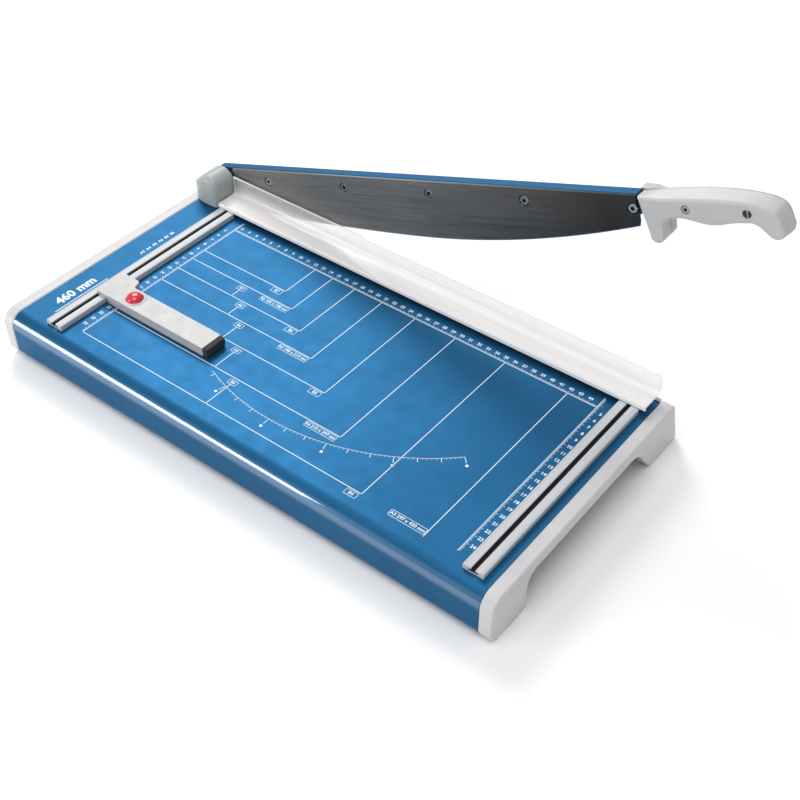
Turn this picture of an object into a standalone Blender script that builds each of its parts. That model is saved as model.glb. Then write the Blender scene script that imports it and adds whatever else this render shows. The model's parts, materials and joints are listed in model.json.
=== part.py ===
"""Guillotine paper cutter: a lever blade on a clevis at the left rear of a blue sheet-metal table.

Every size and place in this script is in millimetres, in the table's own frame: +X runs along the
cut from the pivot to the handle, +Y from the operator to the cut, +Z up. The cut lies in the plane
y = 0, the table's top face in the plane z = 0, and x = 0 is the left alignment edge. Arm pieces are
modelled in the arm's frame: x along the arm from the pivot, z square to it. The last step puts the
world origin under the middle of the object, on the surface that it stands on.
"""
from math import cos, hypot, pi, radians, sin

import bmesh
import bpy
from mathutils import Vector

MM = 0.001
GAP = 0.3                       # clearance between pieces that touch

# Table
PANEL_LEFT, PANEL_RIGHT = -55.0, 491.0
PANEL_SHEET = 1.5
PANEL_BACK = -4.3               # the sheet starts in front of the counter blade
NOSE_FRONT, NOSE_BOTTOM = -278.0, -48.0
NOSE_TOP_RADIUS, NOSE_FOOT_RADIUS = 14.0, 10.5
LIP_Y, LIP_TOP = -238.0, -40.0   # the sheet's return under the nose
FLANGE_DROP = 24.0
CAP_WIDTH = 13.0
CAP_PROUD = 0.6                 # the caps stand this much above the sheet
CAP_BACK = 0.8
ARCH_HEIGHT, ARCH_FRONT, ARCH_BACK = -12.0, -229.0, -33.5
HEEL_BACK, HEEL_TOP = 14.0, -4.0
FLOOR = -50.0
PAD_HEIGHT = 1.1
RAIL_WIDTH, RAIL_TOP = 20.0, 5.5
RAIL_FRONT, RAIL_BACK = -262.0, -29.0
LEFT_RAIL_X, RIGHT_RAIL_X = -10.0, 473.0
RAIL_SCREWS_Y = (-50.0, -245.0)
CROSS_RAILS_Y = {"front": -215.0, "rear": -85.0}

# Cutting gear
COUNTER_BLADE_X = (-22.4, 490.0)
COUNTER_BLADE_THICK, COUNTER_BLADE_DEEP = 4.0, 20.0
COUNTER_SCREWS_X, COUNTER_SCREWS_Z = (60.0, 180.0, 300.0, 420.0), -12.0
PIVOT_X, PIVOT_Z = -42.0, 14.0
REST_ANGLE = 18.55              # the arm's angle above the table at rest
ARM_FRONT, ARM_BACK = 3.6, 13.6
ARM_HALF_DEPTH, ARM_HUB_RADIUS = 15.6, 12.6
ARM_LENGTH, TANG_END = 508.8, 622.0
TANG_LOW, TANG_TOP = -1.0, 9.8
BLADE_FRONT, BLADE_BACK = 0.3, 3.3
BLADE_START, BLADE_END = 22.0, 508.8
BELLY_X, BELLY_Z = 265.0, -43.0
BELLY_RADIUS_NEAR, BELLY_RADIUS_FAR = 2400.0, 963.0
BLADE_SCREW_START, BLADE_SCREW_PITCH, BLADE_SCREW_Z = 72.0, 108.0, 3.0
HANDLE_START = 509.5
HANDLE_FRONT, HANDLE_SPLIT, HANDLE_BACK = 0.6, 14.05, 24.6
FRONT_FALL, REAR_FALL = 5.8, 8.0
HANDLE_SCREWS_X, HANDLE_SCREWS_Z = (552.0, 604.0), 5.5
BRACKET_X = (-65.0, -23.0)
BRACKET_FRONT, BRACKET_BACK = -28.0, 20.0
BRACKET_WALL_TOP, BRACKET_LUG = 15.0, 10.5
SLOT_BACK = 15.6
BRACKET_SCREWS = ((-48.0, -21.0), (-30.0, -21.0))

# Guard and clamp
GUARD_X = (-21.5, 488.5)
GUARD_TOP, GUARD_SHEET = 29.5, 2.0
GUARD_BACK, GUARD_FRONT = -2.0, -28.5
FLANGE_Z = 8.2
POSTS_X, POSTS_Y, POST_RADIUS = {"left": 8.0, "right": 474.0}, -17.0, 3.0
POST_TOP, POST_BOTTOM = 5.6, -39.0
BUSHING_Z = (-8.5, -1.8)
LIFT_BAR_Z = (-36.3, -33.3)

# Backstop
STOP_X = (-13.0, 130.0)
STOP_FRONT, STOP_BACK, STOP_HEAD_BACK = -206.5, -182.0, -172.0
STOP_TOP = 10.0
BUTTON_X, BUTTON_Y, BUTTON_RADIUS = 28.0, -193.5, 8.5
BUTTON_Z, BUTTON_TOP = 7.2, 15.6

COLOURS = {                     # base colour, metallic, roughness
    "blue_paint": ((0.035, 0.165, 0.42, 1), 0.2, 0.35),
    "light_plastic": ((0.62, 0.61, 0.60, 1), 0.0, 0.45),
    "grey_plastic": ((0.42, 0.45, 0.45, 1), 0.0, 0.4),
    "off_white_plastic": ((0.78, 0.76, 0.74, 1), 0.0, 0.4),
    "red_plastic": ((0.62, 0.03, 0.06, 1), 0.0, 0.3),
    "clear_plastic": ((0.92, 0.93, 0.92, 0.4), 0.0, 0.1),
    "rubber": ((0.04, 0.04, 0.045, 1), 0.0, 0.8),
    "aluminium": ((0.75, 0.74, 0.72, 1), 1.0, 0.35),
    "blade_steel": ((0.16, 0.165, 0.17, 1), 0.9, 0.35),
    "bright_steel": ((0.6, 0.6, 0.6, 1), 1.0, 0.3),
    "brass": ((0.7, 0.5, 0.2, 1), 1.0, 0.35),
}


# --------------------------------------------------------------------------- helpers
def clear_scene():
    for obj in list(bpy.data.objects):
        bpy.data.objects.remove(obj, do_unlink=True)


def new_collection(name):
    collection = bpy.data.collections.new(name)
    bpy.context.scene.collection.children.link(collection)
    return collection


def material(name):
    existing = bpy.data.materials.get(name)
    if existing:
        return existing
    colour, metallic, roughness = COLOURS[name]
    new = bpy.data.materials.new(name)
    new.use_nodes = True
    new.diffuse_color = colour
    shader = new.node_tree.nodes["Principled BSDF"]
    shader.inputs["Base Color"].default_value = colour
    shader.inputs["Metallic"].default_value = metallic
    shader.inputs["Roughness"].default_value = roughness
    shader.inputs["Alpha"].default_value = colour[3]
    return new


def add(name, mesh, place=(0, 0, 0), turn=(0, 0, 0), paint=None, parent=None):
    """A mesh object, linked to the parts, or to the cutters if it has no material."""
    obj = bpy.data.objects.new(name, mesh)
    obj.location = Vector(place) * MM
    obj.rotation_euler = [radians(angle) for angle in turn]
    obj.parent = parent
    if paint:
        PARTS.objects.link(obj)
        mesh.materials.append(material(paint))
        mesh.shade_smooth()
        mesh.set_sharp_from_angle(angle=radians(35))
    else:
        CUTTERS.objects.link(obj)
        obj.hide_render = True
        obj.display_type = "WIRE"
    return obj


def mesh_from(bm, name):
    mesh = bpy.data.meshes.new(name)
    bm.to_mesh(mesh)
    bm.free()
    return mesh


def box(name, x, y, z, paint=None, parent=None):
    """A block between two x, two y and two z."""
    bm = bmesh.new()
    bmesh.ops.create_cube(bm, size=1.0)
    size = Vector((x[1] - x[0], y[1] - y[0], z[1] - z[0])) * MM
    bmesh.ops.scale(bm, vec=size, verts=bm.verts)
    middle = ((x[0] + x[1]) / 2, (y[0] + y[1]) / 2, (z[0] + z[1]) / 2)
    return add(name, mesh_from(bm, name), middle, paint=paint, parent=parent)


AXIS_TURNS = {"X": (0, 90, 0), "Y": (-90, 0, 0), "Z": (0, 0, 0)}
PRISM_TURNS = {"X": (90, 0, 90), "Y": (90, 0, 0), "Z": (0, 0, 0)}


def on_axis(axis, across, along):
    """The place at a distance along an axis, with the other two coordinates in X, Y, Z order."""
    first, second = across
    return {"X": (along, first, second), "Y": (first, along, second), "Z": (first, second, along)}[axis]


def prism(name, outline, axis, low, high, paint=None, parent=None):
    """A flat outline, drawn square to an axis, made solid between two places along that axis."""
    curve = bpy.data.curves.new(name, "CURVE")
    curve.dimensions = "2D"
    curve.fill_mode = "BOTH"
    curve.extrude = (high - low) / 2 * MM
    spline = curve.splines.new("POLY")
    spline.points.add(len(outline) - 1)
    for point, (first, second) in zip(spline.points, outline):
        point.co = (first * MM, second * MM, 0, 1)
    spline.use_cyclic_u = True
    drawn = bpy.data.objects.new(name + "_outline", curve)
    PARTS.objects.link(drawn)
    mesh = mesh_of(drawn)
    mesh.name = name
    place = on_axis(axis, (0, 0), (low + high) / 2)
    return add(name, mesh, place, PRISM_TURNS[axis], paint, parent)


def mesh_of(drawn):
    """The welded mesh of a curve object, which is then removed."""
    graph = bpy.context.evaluated_depsgraph_get()
    mesh = bpy.data.meshes.new_from_object(drawn.evaluated_get(graph))
    bm = bmesh.new()
    bm.from_mesh(mesh)
    bmesh.ops.remove_doubles(bm, verts=bm.verts, dist=0.00001)
    bmesh.ops.recalc_face_normals(bm, faces=bm.faces)
    bm.to_mesh(mesh)
    bm.free()
    curve = drawn.data
    bpy.data.objects.remove(drawn)
    bpy.data.curves.remove(curve)
    return mesh


def turned(name, profile, axis, across, paint=None, parent=None, closed=False, steps=24):
    """A profile of (radius, along) points, outer side from top to bottom, turned about an axis."""
    bm = bmesh.new()
    verts = [bm.verts.new((radius * MM, 0, along * MM)) for radius, along in profile]
    for first, second in zip(verts, verts[1:]):
        bm.edges.new((first, second))
    if closed:
        bm.edges.new((verts[-1], verts[0]))
    obj = add(name, mesh_from(bm, name), on_axis(axis, across, 0), AXIS_TURNS[axis], paint, parent)
    screw = obj.modifiers.new("Turn", "SCREW")
    screw.steps = screw.render_steps = steps
    screw.use_merge_vertices = True
    screw.merge_threshold = 0.00001
    return obj


def stepped(name, steps, axis, across, paint=None, parent=None):
    """A round pin of (radius, low, high) steps, listed from the highest down."""
    profile = [(0, steps[0][2])]
    for radius, low, high in steps:
        profile += [(radius, high), (radius, low)]
    profile.append((0, steps[-1][1]))
    return turned(name, profile, axis, across, paint, parent)


def ring(name, inner, outer, low, high, axis, across, paint, parent=None):
    profile = [(inner, high), (outer, high), (outer, low), (inner, low)]
    return turned(name, profile, axis, across, paint, parent, closed=True)


def spring(name, radius, wire, turns, low, high, centre, paint, parent=None):
    """A coil of round wire standing on the z axis."""
    curve = bpy.data.curves.new(name, "CURVE")
    curve.dimensions = "3D"
    curve.bevel_depth = wire * MM
    curve.bevel_resolution = 2
    curve.use_fill_caps = True
    spline = curve.splines.new("POLY")
    count = 12 * turns
    spline.points.add(count)
    for i, point in enumerate(spline.points):
        angle = 2 * pi * turns * i / count
        height = low + wire + (high - low - 2 * wire) * i / count
        point.co = (radius * cos(angle) * MM, radius * sin(angle) * MM, height * MM, 1)
    drawn = bpy.data.objects.new(name + "_wire", curve)
    PARTS.objects.link(drawn)
    return add(name, mesh_of(drawn), (*centre, 0), paint=paint, parent=parent)


def arc(centre, radius, start, end, count=8):
    """Points along a circle from one angle to another, in degrees."""
    angles = [radians(start + (end - start) * i / count) for i in range(count + 1)]
    return [(centre[0] + radius * cos(angle), centre[1] + radius * sin(angle)) for angle in angles]


def rounded(x, y, radius):
    """A rectangle's outline with round corners."""
    corners = ((x[1], y[1], 0), (x[0], y[1], 90), (x[0], y[0], 180), (x[1], y[0], 270))
    points = []
    for corner_x, corner_y, start in corners:
        centre_x = corner_x - radius if corner_x == x[1] else corner_x + radius
        centre_y = corner_y - radius if corner_y == y[1] else corner_y + radius
        points += arc((centre_x, centre_y), radius, start, start + 90, 4)
    return points


def boolean(obj, cutter, operation="DIFFERENCE"):
    step = obj.modifiers.new(operation.title(), "BOOLEAN")
    step.operation = operation
    step.object = cutter
    step.solver = "EXACT"


def cut(obj, *cutters):
    for cutter in cutters:
        boolean(obj, cutter)


def soften(obj, width, segments=2, angle=40):
    """Round the sharp edges."""
    step = obj.modifiers.new("Soft edges", "BEVEL")
    step.width = width * MM
    step.segments = segments
    step.limit_method = "ANGLE"
    step.angle_limit = radians(angle)


def round_edges(mesh, chosen, width, segments):
    """Round the edges of a mesh whose two ends satisfy a test, before any modifier."""
    bm = bmesh.new()
    bm.from_mesh(mesh)
    bmesh.ops.dissolve_limit(bm, angle_limit=radians(0.5), verts=bm.verts, edges=bm.edges)
    edges = [edge for edge in bm.edges if all(chosen(vert.co) for vert in edge.verts)]
    bmesh.ops.bevel(bm, geom=edges, offset=width * MM, segments=segments, profile=0.5, affect="EDGES")
    bmesh.ops.remove_doubles(bm, verts=bm.verts, dist=0.00001)
    bmesh.ops.recalc_face_normals(bm, faces=bm.faces)
    if bm.calc_volume(signed=True) < 0:
        bmesh.ops.reverse_faces(bm, faces=bm.faces)
    bm.to_mesh(mesh)
    bm.free()


def frame_empty(name, place=(0, 0, 0), turn=(0, 0, 0), parent=None):
    """An empty on a joint's axis, which the moving pieces hang on."""
    empty = bpy.data.objects.new(name, None)
    empty.location = Vector(place) * MM
    empty.rotation_euler = [radians(angle) for angle in turn]
    empty.parent = parent
    PARTS.objects.link(empty)
    return empty


# --------------------------------------------------------------------------- table
def nose_outline(proud):
    """The front of the table from the side, from the top face to the underside."""
    top, foot = NOSE_TOP_RADIUS, NOSE_FOOT_RADIUS
    outline = arc((NOSE_FRONT + top, -top), top + proud, 90, 180, 12)
    return outline + arc((NOSE_FRONT + foot, NOSE_BOTTOM + foot), foot + proud, 180, 270, 10)


def build_panel():
    """The blue sheet: rear flange, flat top, rounded nose and a return lip under it."""
    outline = [(PANEL_BACK, -FLANGE_DROP), (PANEL_BACK, 0)] + nose_outline(0)
    outline += [(LIP_Y, NOSE_BOTTOM), (LIP_Y, LIP_TOP), (LIP_Y - PANEL_SHEET, LIP_TOP)]
    outline += [(LIP_Y - PANEL_SHEET, NOSE_BOTTOM + PANEL_SHEET)] + nose_outline(-PANEL_SHEET)[::-1]
    outline += [(PANEL_BACK - PANEL_SHEET, -PANEL_SHEET), (PANEL_BACK - PANEL_SHEET, -FLANGE_DROP)]
    span = (PANEL_LEFT + GAP, PANEL_RIGHT - GAP)
    panel = prism("table_panel", outline, "X", *span, "blue_paint")
    for side, x in POSTS_X.items():
        cut(panel, stepped("panel_hole_" + side, [(POST_RADIUS + 0.5, -10, 10)], "Z", (x, POSTS_Y)))
    for x, y in rail_screw_places():
        cut(panel, stepped("panel_rail_hole", [(1.7, -10, 10)], "Z", (x, y)))
    for x, y in BRACKET_SCREWS:
        cut(panel, stepped("panel_bracket_hole", [(3.4, -10, 10)], "Z", (x, y)))
    for x in COUNTER_SCREWS_X:
        cut(panel, stepped("panel_flange_hole", [(2.9, -9, 0)], "Y", (x, COUNTER_SCREWS_Z)))


def cap_outline():
    bottom = NOSE_BOTTOM - CAP_PROUD
    outline = arc((CAP_BACK - 4, CAP_PROUD - 4), 4, 0, 90, 4) + nose_outline(CAP_PROUD)
    outline += [(ARCH_FRONT, bottom)]
    outline += arc((ARCH_FRONT + 12, ARCH_HEIGHT - 12), 12, 180, 90, 6)
    outline += arc((ARCH_BACK - 40.5, ARCH_HEIGHT - 25), 25, 90, 35, 8)
    outline += [(ARCH_BACK, bottom), (HEEL_BACK, bottom), (HEEL_BACK, bottom + 2.5)]
    return outline + [(CAP_BACK, HEEL_TOP)]


def build_caps():
    """The two moulded end caps, with their feet and the arch between them."""
    spans = {
        "left": (PANEL_LEFT - CAP_WIDTH, PANEL_LEFT),
        "right": (PANEL_RIGHT, PANEL_RIGHT + CAP_WIDTH),
    }
    for side, (low, high) in spans.items():
        cap = prism("cap_" + side, cap_outline(), "X", low, high, "light_plastic")
        outward = -1 if side == "left" else 1
        round_edges(cap.data, lambda co: co.z * outward > 0, 3.0, 3)
        middle = (low + high) / 2
        for end, y in {"front": (-256, -233), "rear": (-30, 9)}.items():
            pad = rounded((middle - 4.5, middle + 4.5), y, 3)
            prism("foot_pad_%s_%s" % (side, end), pad, "Z", FLOOR, FLOOR + PAD_HEIGHT, "rubber")


def rail_screw_places():
    return [(x, y) for x in (LEFT_RAIL_X, RIGHT_RAIL_X) for y in RAIL_SCREWS_Y]


def rail_outline():
    """Half of the section of the slotted rail, right of its middle."""
    half = RAIL_WIDTH / 2
    return [(half, GAP), (half, RAIL_TOP), (2.2, RAIL_TOP), (2.2, 3.7), (4.5, 3.7), (4.5, 1.8)]


def build_rails():
    """The two aluminium rails with a T slot, screwed to the panel."""
    right_half = rail_outline()
    section = right_half + [(-x, z) for x, z in reversed(right_half)]
    for side, x in {"left": LEFT_RAIL_X, "right": RIGHT_RAIL_X}.items():
        outline = [(x + across, z) for across, z in section]
        rail = prism("rail_" + side, outline, "Y", RAIL_FRONT, RAIL_BACK, "aluminium")
        for y in RAIL_SCREWS_Y:
            cut(rail, stepped("rail_hole", [(1.9, -1, 1.8 + GAP)], "Z", (x, y)))
    for i, place in enumerate(rail_screw_places()):
        screw = [(1.6, 0.6, 1.7), (1.3, -6, 0.6)]
        stepped("rail_screw_%d" % (i + 1), screw, "Z", place, "bright_steel")


def build_cross_rails():
    """Folded channels under the panel, from cap to cap."""
    top, bottom, half, sheet = -PANEL_SHEET - GAP, ARCH_HEIGHT + 0.5, 13.0, 1.5
    for name, y in CROSS_RAILS_Y.items():
        leg = [(half - sheet, top - sheet), (half - sheet, bottom), (half, bottom), (half, top)]
        outline = [(y + across, z) for across, z in leg]
        outline += [(y - across, z) for across, z in reversed(leg)]
        span = (PANEL_LEFT + GAP, PANEL_RIGHT - GAP)
        prism("cross_rail_" + name, outline, "X", *span, "bright_steel")


# --------------------------------------------------------------------------- cutting gear
def build_counter_blade():
    """The fixed lower blade, the beam behind the panel's flange and the screws through both."""
    thick, deep = COUNTER_BLADE_THICK, COUNTER_BLADE_DEEP
    blade = box("counter_blade", COUNTER_BLADE_X, (-thick, 0), (-deep, 0), "bright_steel")
    beam_back = PANEL_BACK - PANEL_SHEET - GAP
    beam_front = beam_back - 4
    beam = box("rear_beam", (PANEL_LEFT + GAP, PANEL_RIGHT - GAP), (beam_front, beam_back),
               (-FLANGE_DROP, -PANEL_SHEET - GAP), "bright_steel")
    for i, x in enumerate(COUNTER_SCREWS_X):
        place = (x, COUNTER_SCREWS_Z)
        cut(beam, stepped("beam_hole", [(2.8, beam_front - 2, beam_back + 2)], "Y", place))
        cut(blade, stepped("counter_hole", [(2.8, -thick - 2, -1)], "Y", place))
        screw = [(2.5, beam_front - GAP, -1.5), (4.2, beam_front - GAP - 3, beam_front - GAP)]
        stepped("counter_screw_%d" % (i + 1), screw, "Y", place, "bright_steel")


def bracket_plan():
    """The bracket from above: a broad round corner at the front left, a smaller one at the right."""
    left, right = BRACKET_X
    outline = arc((left + 20, BRACKET_FRONT + 20), 20, 180, 270, 10)
    outline += arc((right - 8, BRACKET_FRONT + 8), 8, 270, 360, 6)
    return outline + [(right, BRACKET_BACK + 1), (left, BRACKET_BACK + 1)]


def bracket_trim():
    """What is cut away behind the front cheek: all above the side wall, but for a round lug."""
    far_left, far_right, far_top = PIVOT_X - 40, PIVOT_X + 40, PIVOT_Z + 40
    wall, step = BRACKET_WALL_TOP, PIVOT_Z - 4
    outline = [(far_left, far_top), (far_left, wall), (PIVOT_X - BRACKET_LUG, wall)]
    outline += arc((PIVOT_X, PIVOT_Z), BRACKET_LUG, 165, 15, 10)
    return outline + [(PIVOT_X + BRACKET_LUG, step), (far_right, step), (far_right, far_top)]


def build_bracket():
    """The clevis: a thick front cheek on the table, a slot for the arm and a thin rear cheek."""
    left, right = BRACKET_X
    foot = CAP_PROUD + GAP
    outline = [(left, foot), (right, foot)]
    outline += arc((right - 15.6, 18.8), 15.6, 0, 132, 12)
    outline += arc((left + 9, 12), 9, 132, 180, 5)
    bracket = prism("pivot_bracket", outline, "Y", BRACKET_FRONT, BRACKET_BACK, "grey_plastic")
    half = (BRACKET_BACK - BRACKET_FRONT) / 2 * MM
    round_edges(bracket.data, lambda co: co.z > half * 0.99 and co.y > (foot + 1) * MM, 7.0, 4)
    boolean(bracket, prism("bracket_plan", bracket_plan(), "Z", -1, 60), "INTERSECT")
    base = box("bracket_base", (PANEL_LEFT + GAP, right), (0.4, BRACKET_BACK), (-16, 4))
    boolean(bracket, base, "UNION")
    cut(bracket, box("bracket_slot", (left + 5.8, right + 30), (0, SLOT_BACK), (-3, 60)))
    cut(bracket, prism("bracket_trim", bracket_trim(), "Y", 0, BRACKET_BACK + 5))
    cut(bracket, stepped("bracket_bore", [(5.3, -14, 30)], "Y", (PIVOT_X, PIVOT_Z)))
    for i, (x, y) in enumerate(BRACKET_SCREWS):
        cut(bracket, stepped("bracket_screw_hole", [(2.9, -5, 10)], "Z", (x, y)))
        under = -PANEL_SHEET - GAP
        screw = [(2.5, under, 9.5), (4.5, under - 4, under)]
        stepped("bracket_screw_%d" % (i + 1), screw, "Z", (x, y), "bright_steel")


def build_pivot():
    """The pivot bolt, put in from the rear, with its washers."""
    place = (PIVOT_X, PIVOT_Z)
    washer_back = BRACKET_BACK + GAP + 1.2
    head = (washer_back + GAP, washer_back + GAP + 5)
    bolt = stepped("pivot_bolt", [(7.0, *head), (5.0, -13, head[0])], "Y", place, "bright_steel")
    hexagon = arc((0, 0), 4, 0, 300, 5)
    cut(bolt, prism("bolt_socket", hexagon, "Z", head[1] - 3, head[1] + 3, parent=bolt))
    ring("bolt_washer", 5.3, 10.0, BRACKET_BACK + GAP, washer_back, "Y", place, "bright_steel")
    ring("thrust_washer", 5.3, 11.0, 0.3, 3.3, "Y", place, "brass")
    ring("spring_washer", 5.3, 9.0, ARM_BACK + GAP, SLOT_BACK - GAP, "Y", place, "bright_steel")


def blade_edge():
    """The cutting edge, from the handle end to the pivot end: two arcs that meet at the belly."""
    points = []
    far_side = (BELLY_RADIUS_FAR, BLADE_END, BELLY_X)
    near_side = (BELLY_RADIUS_NEAR, BELLY_X, BLADE_START)
    for radius, start, end in (far_side, near_side):
        for i in range(12):
            x = start + (end - start) * i / 12
            points.append((x, BELLY_Z + (x - BELLY_X) ** 2 / (2 * radius)))
    points.append((BLADE_START, BELLY_Z + (BLADE_START - BELLY_X) ** 2 / (2 * BELLY_RADIUS_NEAR)))
    return points


def build_arm(hinge):
    """The blue arm, the blade on its front face, and the five blade screws."""
    outline = [(-3, ARM_HALF_DEPTH)] + arc((0, 0), ARM_HUB_RADIUS, 125, 235, 10)
    outline += [(-3, -ARM_HALF_DEPTH), (60, -ARM_HALF_DEPTH), (ARM_LENGTH, -4)]
    outline += [(ARM_LENGTH, TANG_LOW), (TANG_END, TANG_LOW)]
    outline += [(TANG_END, TANG_TOP), (ARM_LENGTH, TANG_TOP), (ARM_LENGTH, ARM_HALF_DEPTH)]
    arm = prism("arm", outline, "Y", ARM_FRONT, ARM_BACK, "blue_paint", hinge)
    cut(arm, stepped("arm_bore", [(5.3, -5, 20)], "Y", (0, 0), parent=hinge))
    top = ARM_HALF_DEPTH - 0.5
    blade_outline = [(BLADE_START, top), (BLADE_END, top)] + blade_edge()
    blade = prism("blade", blade_outline, "Y", BLADE_FRONT, BLADE_BACK, "blade_steel", hinge)
    for i in range(5):
        place = (BLADE_SCREW_START + BLADE_SCREW_PITCH * i, BLADE_SCREW_Z)
        cut(blade, stepped("blade_hole", [(4.9, -2, 6)], "Y", place, parent=hinge))
        cut(arm, stepped("arm_screw_hole", [(2.8, 0, 12.4)], "Y", place, parent=hinge))
        screw = [(2.5, 3.2, 11.8), (4.4, 1.1, 3.2)]
        obj = stepped("blade_screw_%d" % (i + 1), screw, "Y", place, "bright_steel", hinge)
        cut(obj, prism("driver_socket", arc((0, 0), 2.0, 0, 300, 5), "Z", 0, 2.4, parent=obj))
    for x in HANDLE_SCREWS_X:
        cut(arm, stepped("tang_hole", [(2.2, 0, 20)], "Y", (x, HANDLE_SCREWS_Z), parent=hinge))


def handle_back(start, lead):
    """The grip's back along the seam, hook end first: x, z and the share of the slope each point takes."""
    hook = [(x, z, 0.75 * (i / 10) ** 2) for i, (x, z) in enumerate(arc((626.8, -6.5), 9, 220, 360, 10))]
    back = [(635.2, 0, 0.85), (634.2, 5, 1), (632.2, 9.8, 1), (628.5, 13.4, 1), (623, 15.9, 1), (616, 17.6, 1)]
    back += [(607, 18.9, 0.95), (597, 19.8, 0.95), (585, 20.4, 1), (572, 20.4, 1), (559, 19.7, 0.95)]
    back += [(547, 18.6, 0.85), (536, 17.4, 0.75), (527, 16.3, 0.6)]
    return hook + back + [(519, 15.2 + lead, 0.3), (513, 14.4 + lead, 0.1), (start, 14.0 + lead, 0)]


def handle_outline(start, lead):
    """The grip seen from the front: hand stop at the blade end, a swelling waist, and a hooked end."""
    outline = [(516, -17)] + arc((522.2, -20.6), 6.4, 195, 345, 9) + arc((536.2, -11), 7, 180, 90, 4)
    outline += [(x, -3.1 - 3.8 * sin(pi * (x - 545) / 55) ** 2) for x in range(545, 601, 5)]
    outline += [(607, -2.6), (611, -4.2), (615, -7.4)]
    return outline + [(x, z) for x, z, slope in handle_back(start, lead)]


def slope_back(mesh, back, side, fall):
    """Draw the grip's back in towards one face, so that it slopes down from the seam to that face."""
    bm = bmesh.new()
    bm.from_mesh(mesh)
    bmesh.ops.dissolve_limit(bm, angle_limit=radians(0.5), verts=bm.verts, edges=bm.edges)
    outer = [vert for vert in bm.verts if vert.co.z * side > 0]
    for before, (x, z, slope), after in zip(back, back[1:], back[2:]):
        along = Vector((after[0] - before[0], after[1] - before[1], 0)).normalized()
        inward = Vector((-along.y, along.x, 0))
        nearest = min(outer, key=lambda vert: hypot(vert.co.x - x * MM, vert.co.y - z * MM))
        nearest.co += inward * slope * fall * MM
    bmesh.ops.triangulate(bm, faces=[face for face in bm.faces if abs(face.normal.z) < 0.99])
    bm.to_mesh(mesh)
    bm.free()


def handle_plan():
    """The grip from above: a blunt blade end and a round far end."""
    left, right, front, back = 500, 636.2, HANDLE_FRONT, HANDLE_BACK
    outline = [(left, front), (right - 9, front)]
    outline += arc((right - 9, front + 9), 9, 270, 360, 8)[1:]
    outline += arc((right - 9, back - 9), 9, 0, 90, 8)
    return outline + [(left, back)]


def build_handle(hinge):
    """Two grip shells screwed together over the arm's tang."""
    paint = "light_plastic"
    front_span = (HANDLE_FRONT, HANDLE_SPLIT - GAP / 2)
    rear_span = (HANDLE_SPLIT + GAP / 2, HANDLE_BACK)
    front = prism("handle_front", handle_outline(HANDLE_START, 0), "Y", *front_span, paint, hinge)
    rear = prism("handle_rear", handle_outline(HANDLE_START - 4, 1.6), "Y", *rear_span, paint, hinge)
    slope_back(front.data, handle_back(HANDLE_START, 0), 1, FRONT_FALL)
    slope_back(rear.data, handle_back(HANDLE_START - 4, 1.6), -1, REAR_FALL)
    round_edges(front.data, lambda co: co.z > 0, 1.8, 3)
    round_edges(rear.data, lambda co: co.z < 0, 2.4, 3)
    for shell in (front, rear):
        boolean(shell, prism("handle_plan", handle_plan(), "Z", -50, 50, parent=hinge), "INTERSECT")
    deep, high = (ARM_FRONT - GAP, HANDLE_SPLIT + 1), (TANG_LOW - GAP, TANG_TOP + GAP)
    cut(front, box("tang_pocket", (ARM_LENGTH - 2, TANG_END + GAP), deep, high, parent=hinge))
    for i, x in enumerate(HANDLE_SCREWS_X):
        place = (x, HANDLE_SCREWS_Z)
        cut(front, stepped("handle_bore", [(2.1, 2.4, 20), (3.7, -3, 2.4)], "Y", place, parent=hinge))
        cut(rear, stepped("handle_thread", [(2.1, 5, 20.5)], "Y", place, parent=hinge))
        screw = [(1.8, 2.1, 20), (3.4, 0.8, 2.1)]
        stepped("handle_screw_%d" % (i + 1), screw, "Y", place, "bright_steel", hinge)


# --------------------------------------------------------------------------- guard and clamp
def guard_outline():
    """Section of the clear guard: upright, rounded foot, flange and a small front lip."""
    sheet = GUARD_SHEET
    bend = (GUARD_BACK - 6, FLANGE_Z + 6)
    outline = [(GUARD_BACK, GUARD_TOP)]
    outline += arc(bend, 6, 360, 270, 6)
    outline += [(GUARD_FRONT + sheet, FLANGE_Z), (GUARD_FRONT + sheet, 5.3), (GUARD_FRONT, 5.3)]
    outline += arc((GUARD_FRONT + 1.5, FLANGE_Z + sheet - 1.5), 1.5, 180, 90, 3)
    outline += arc(bend, 6 - sheet, 270, 360, 6)
    outline += [(GUARD_BACK - sheet, GUARD_TOP)]
    return outline


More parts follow.
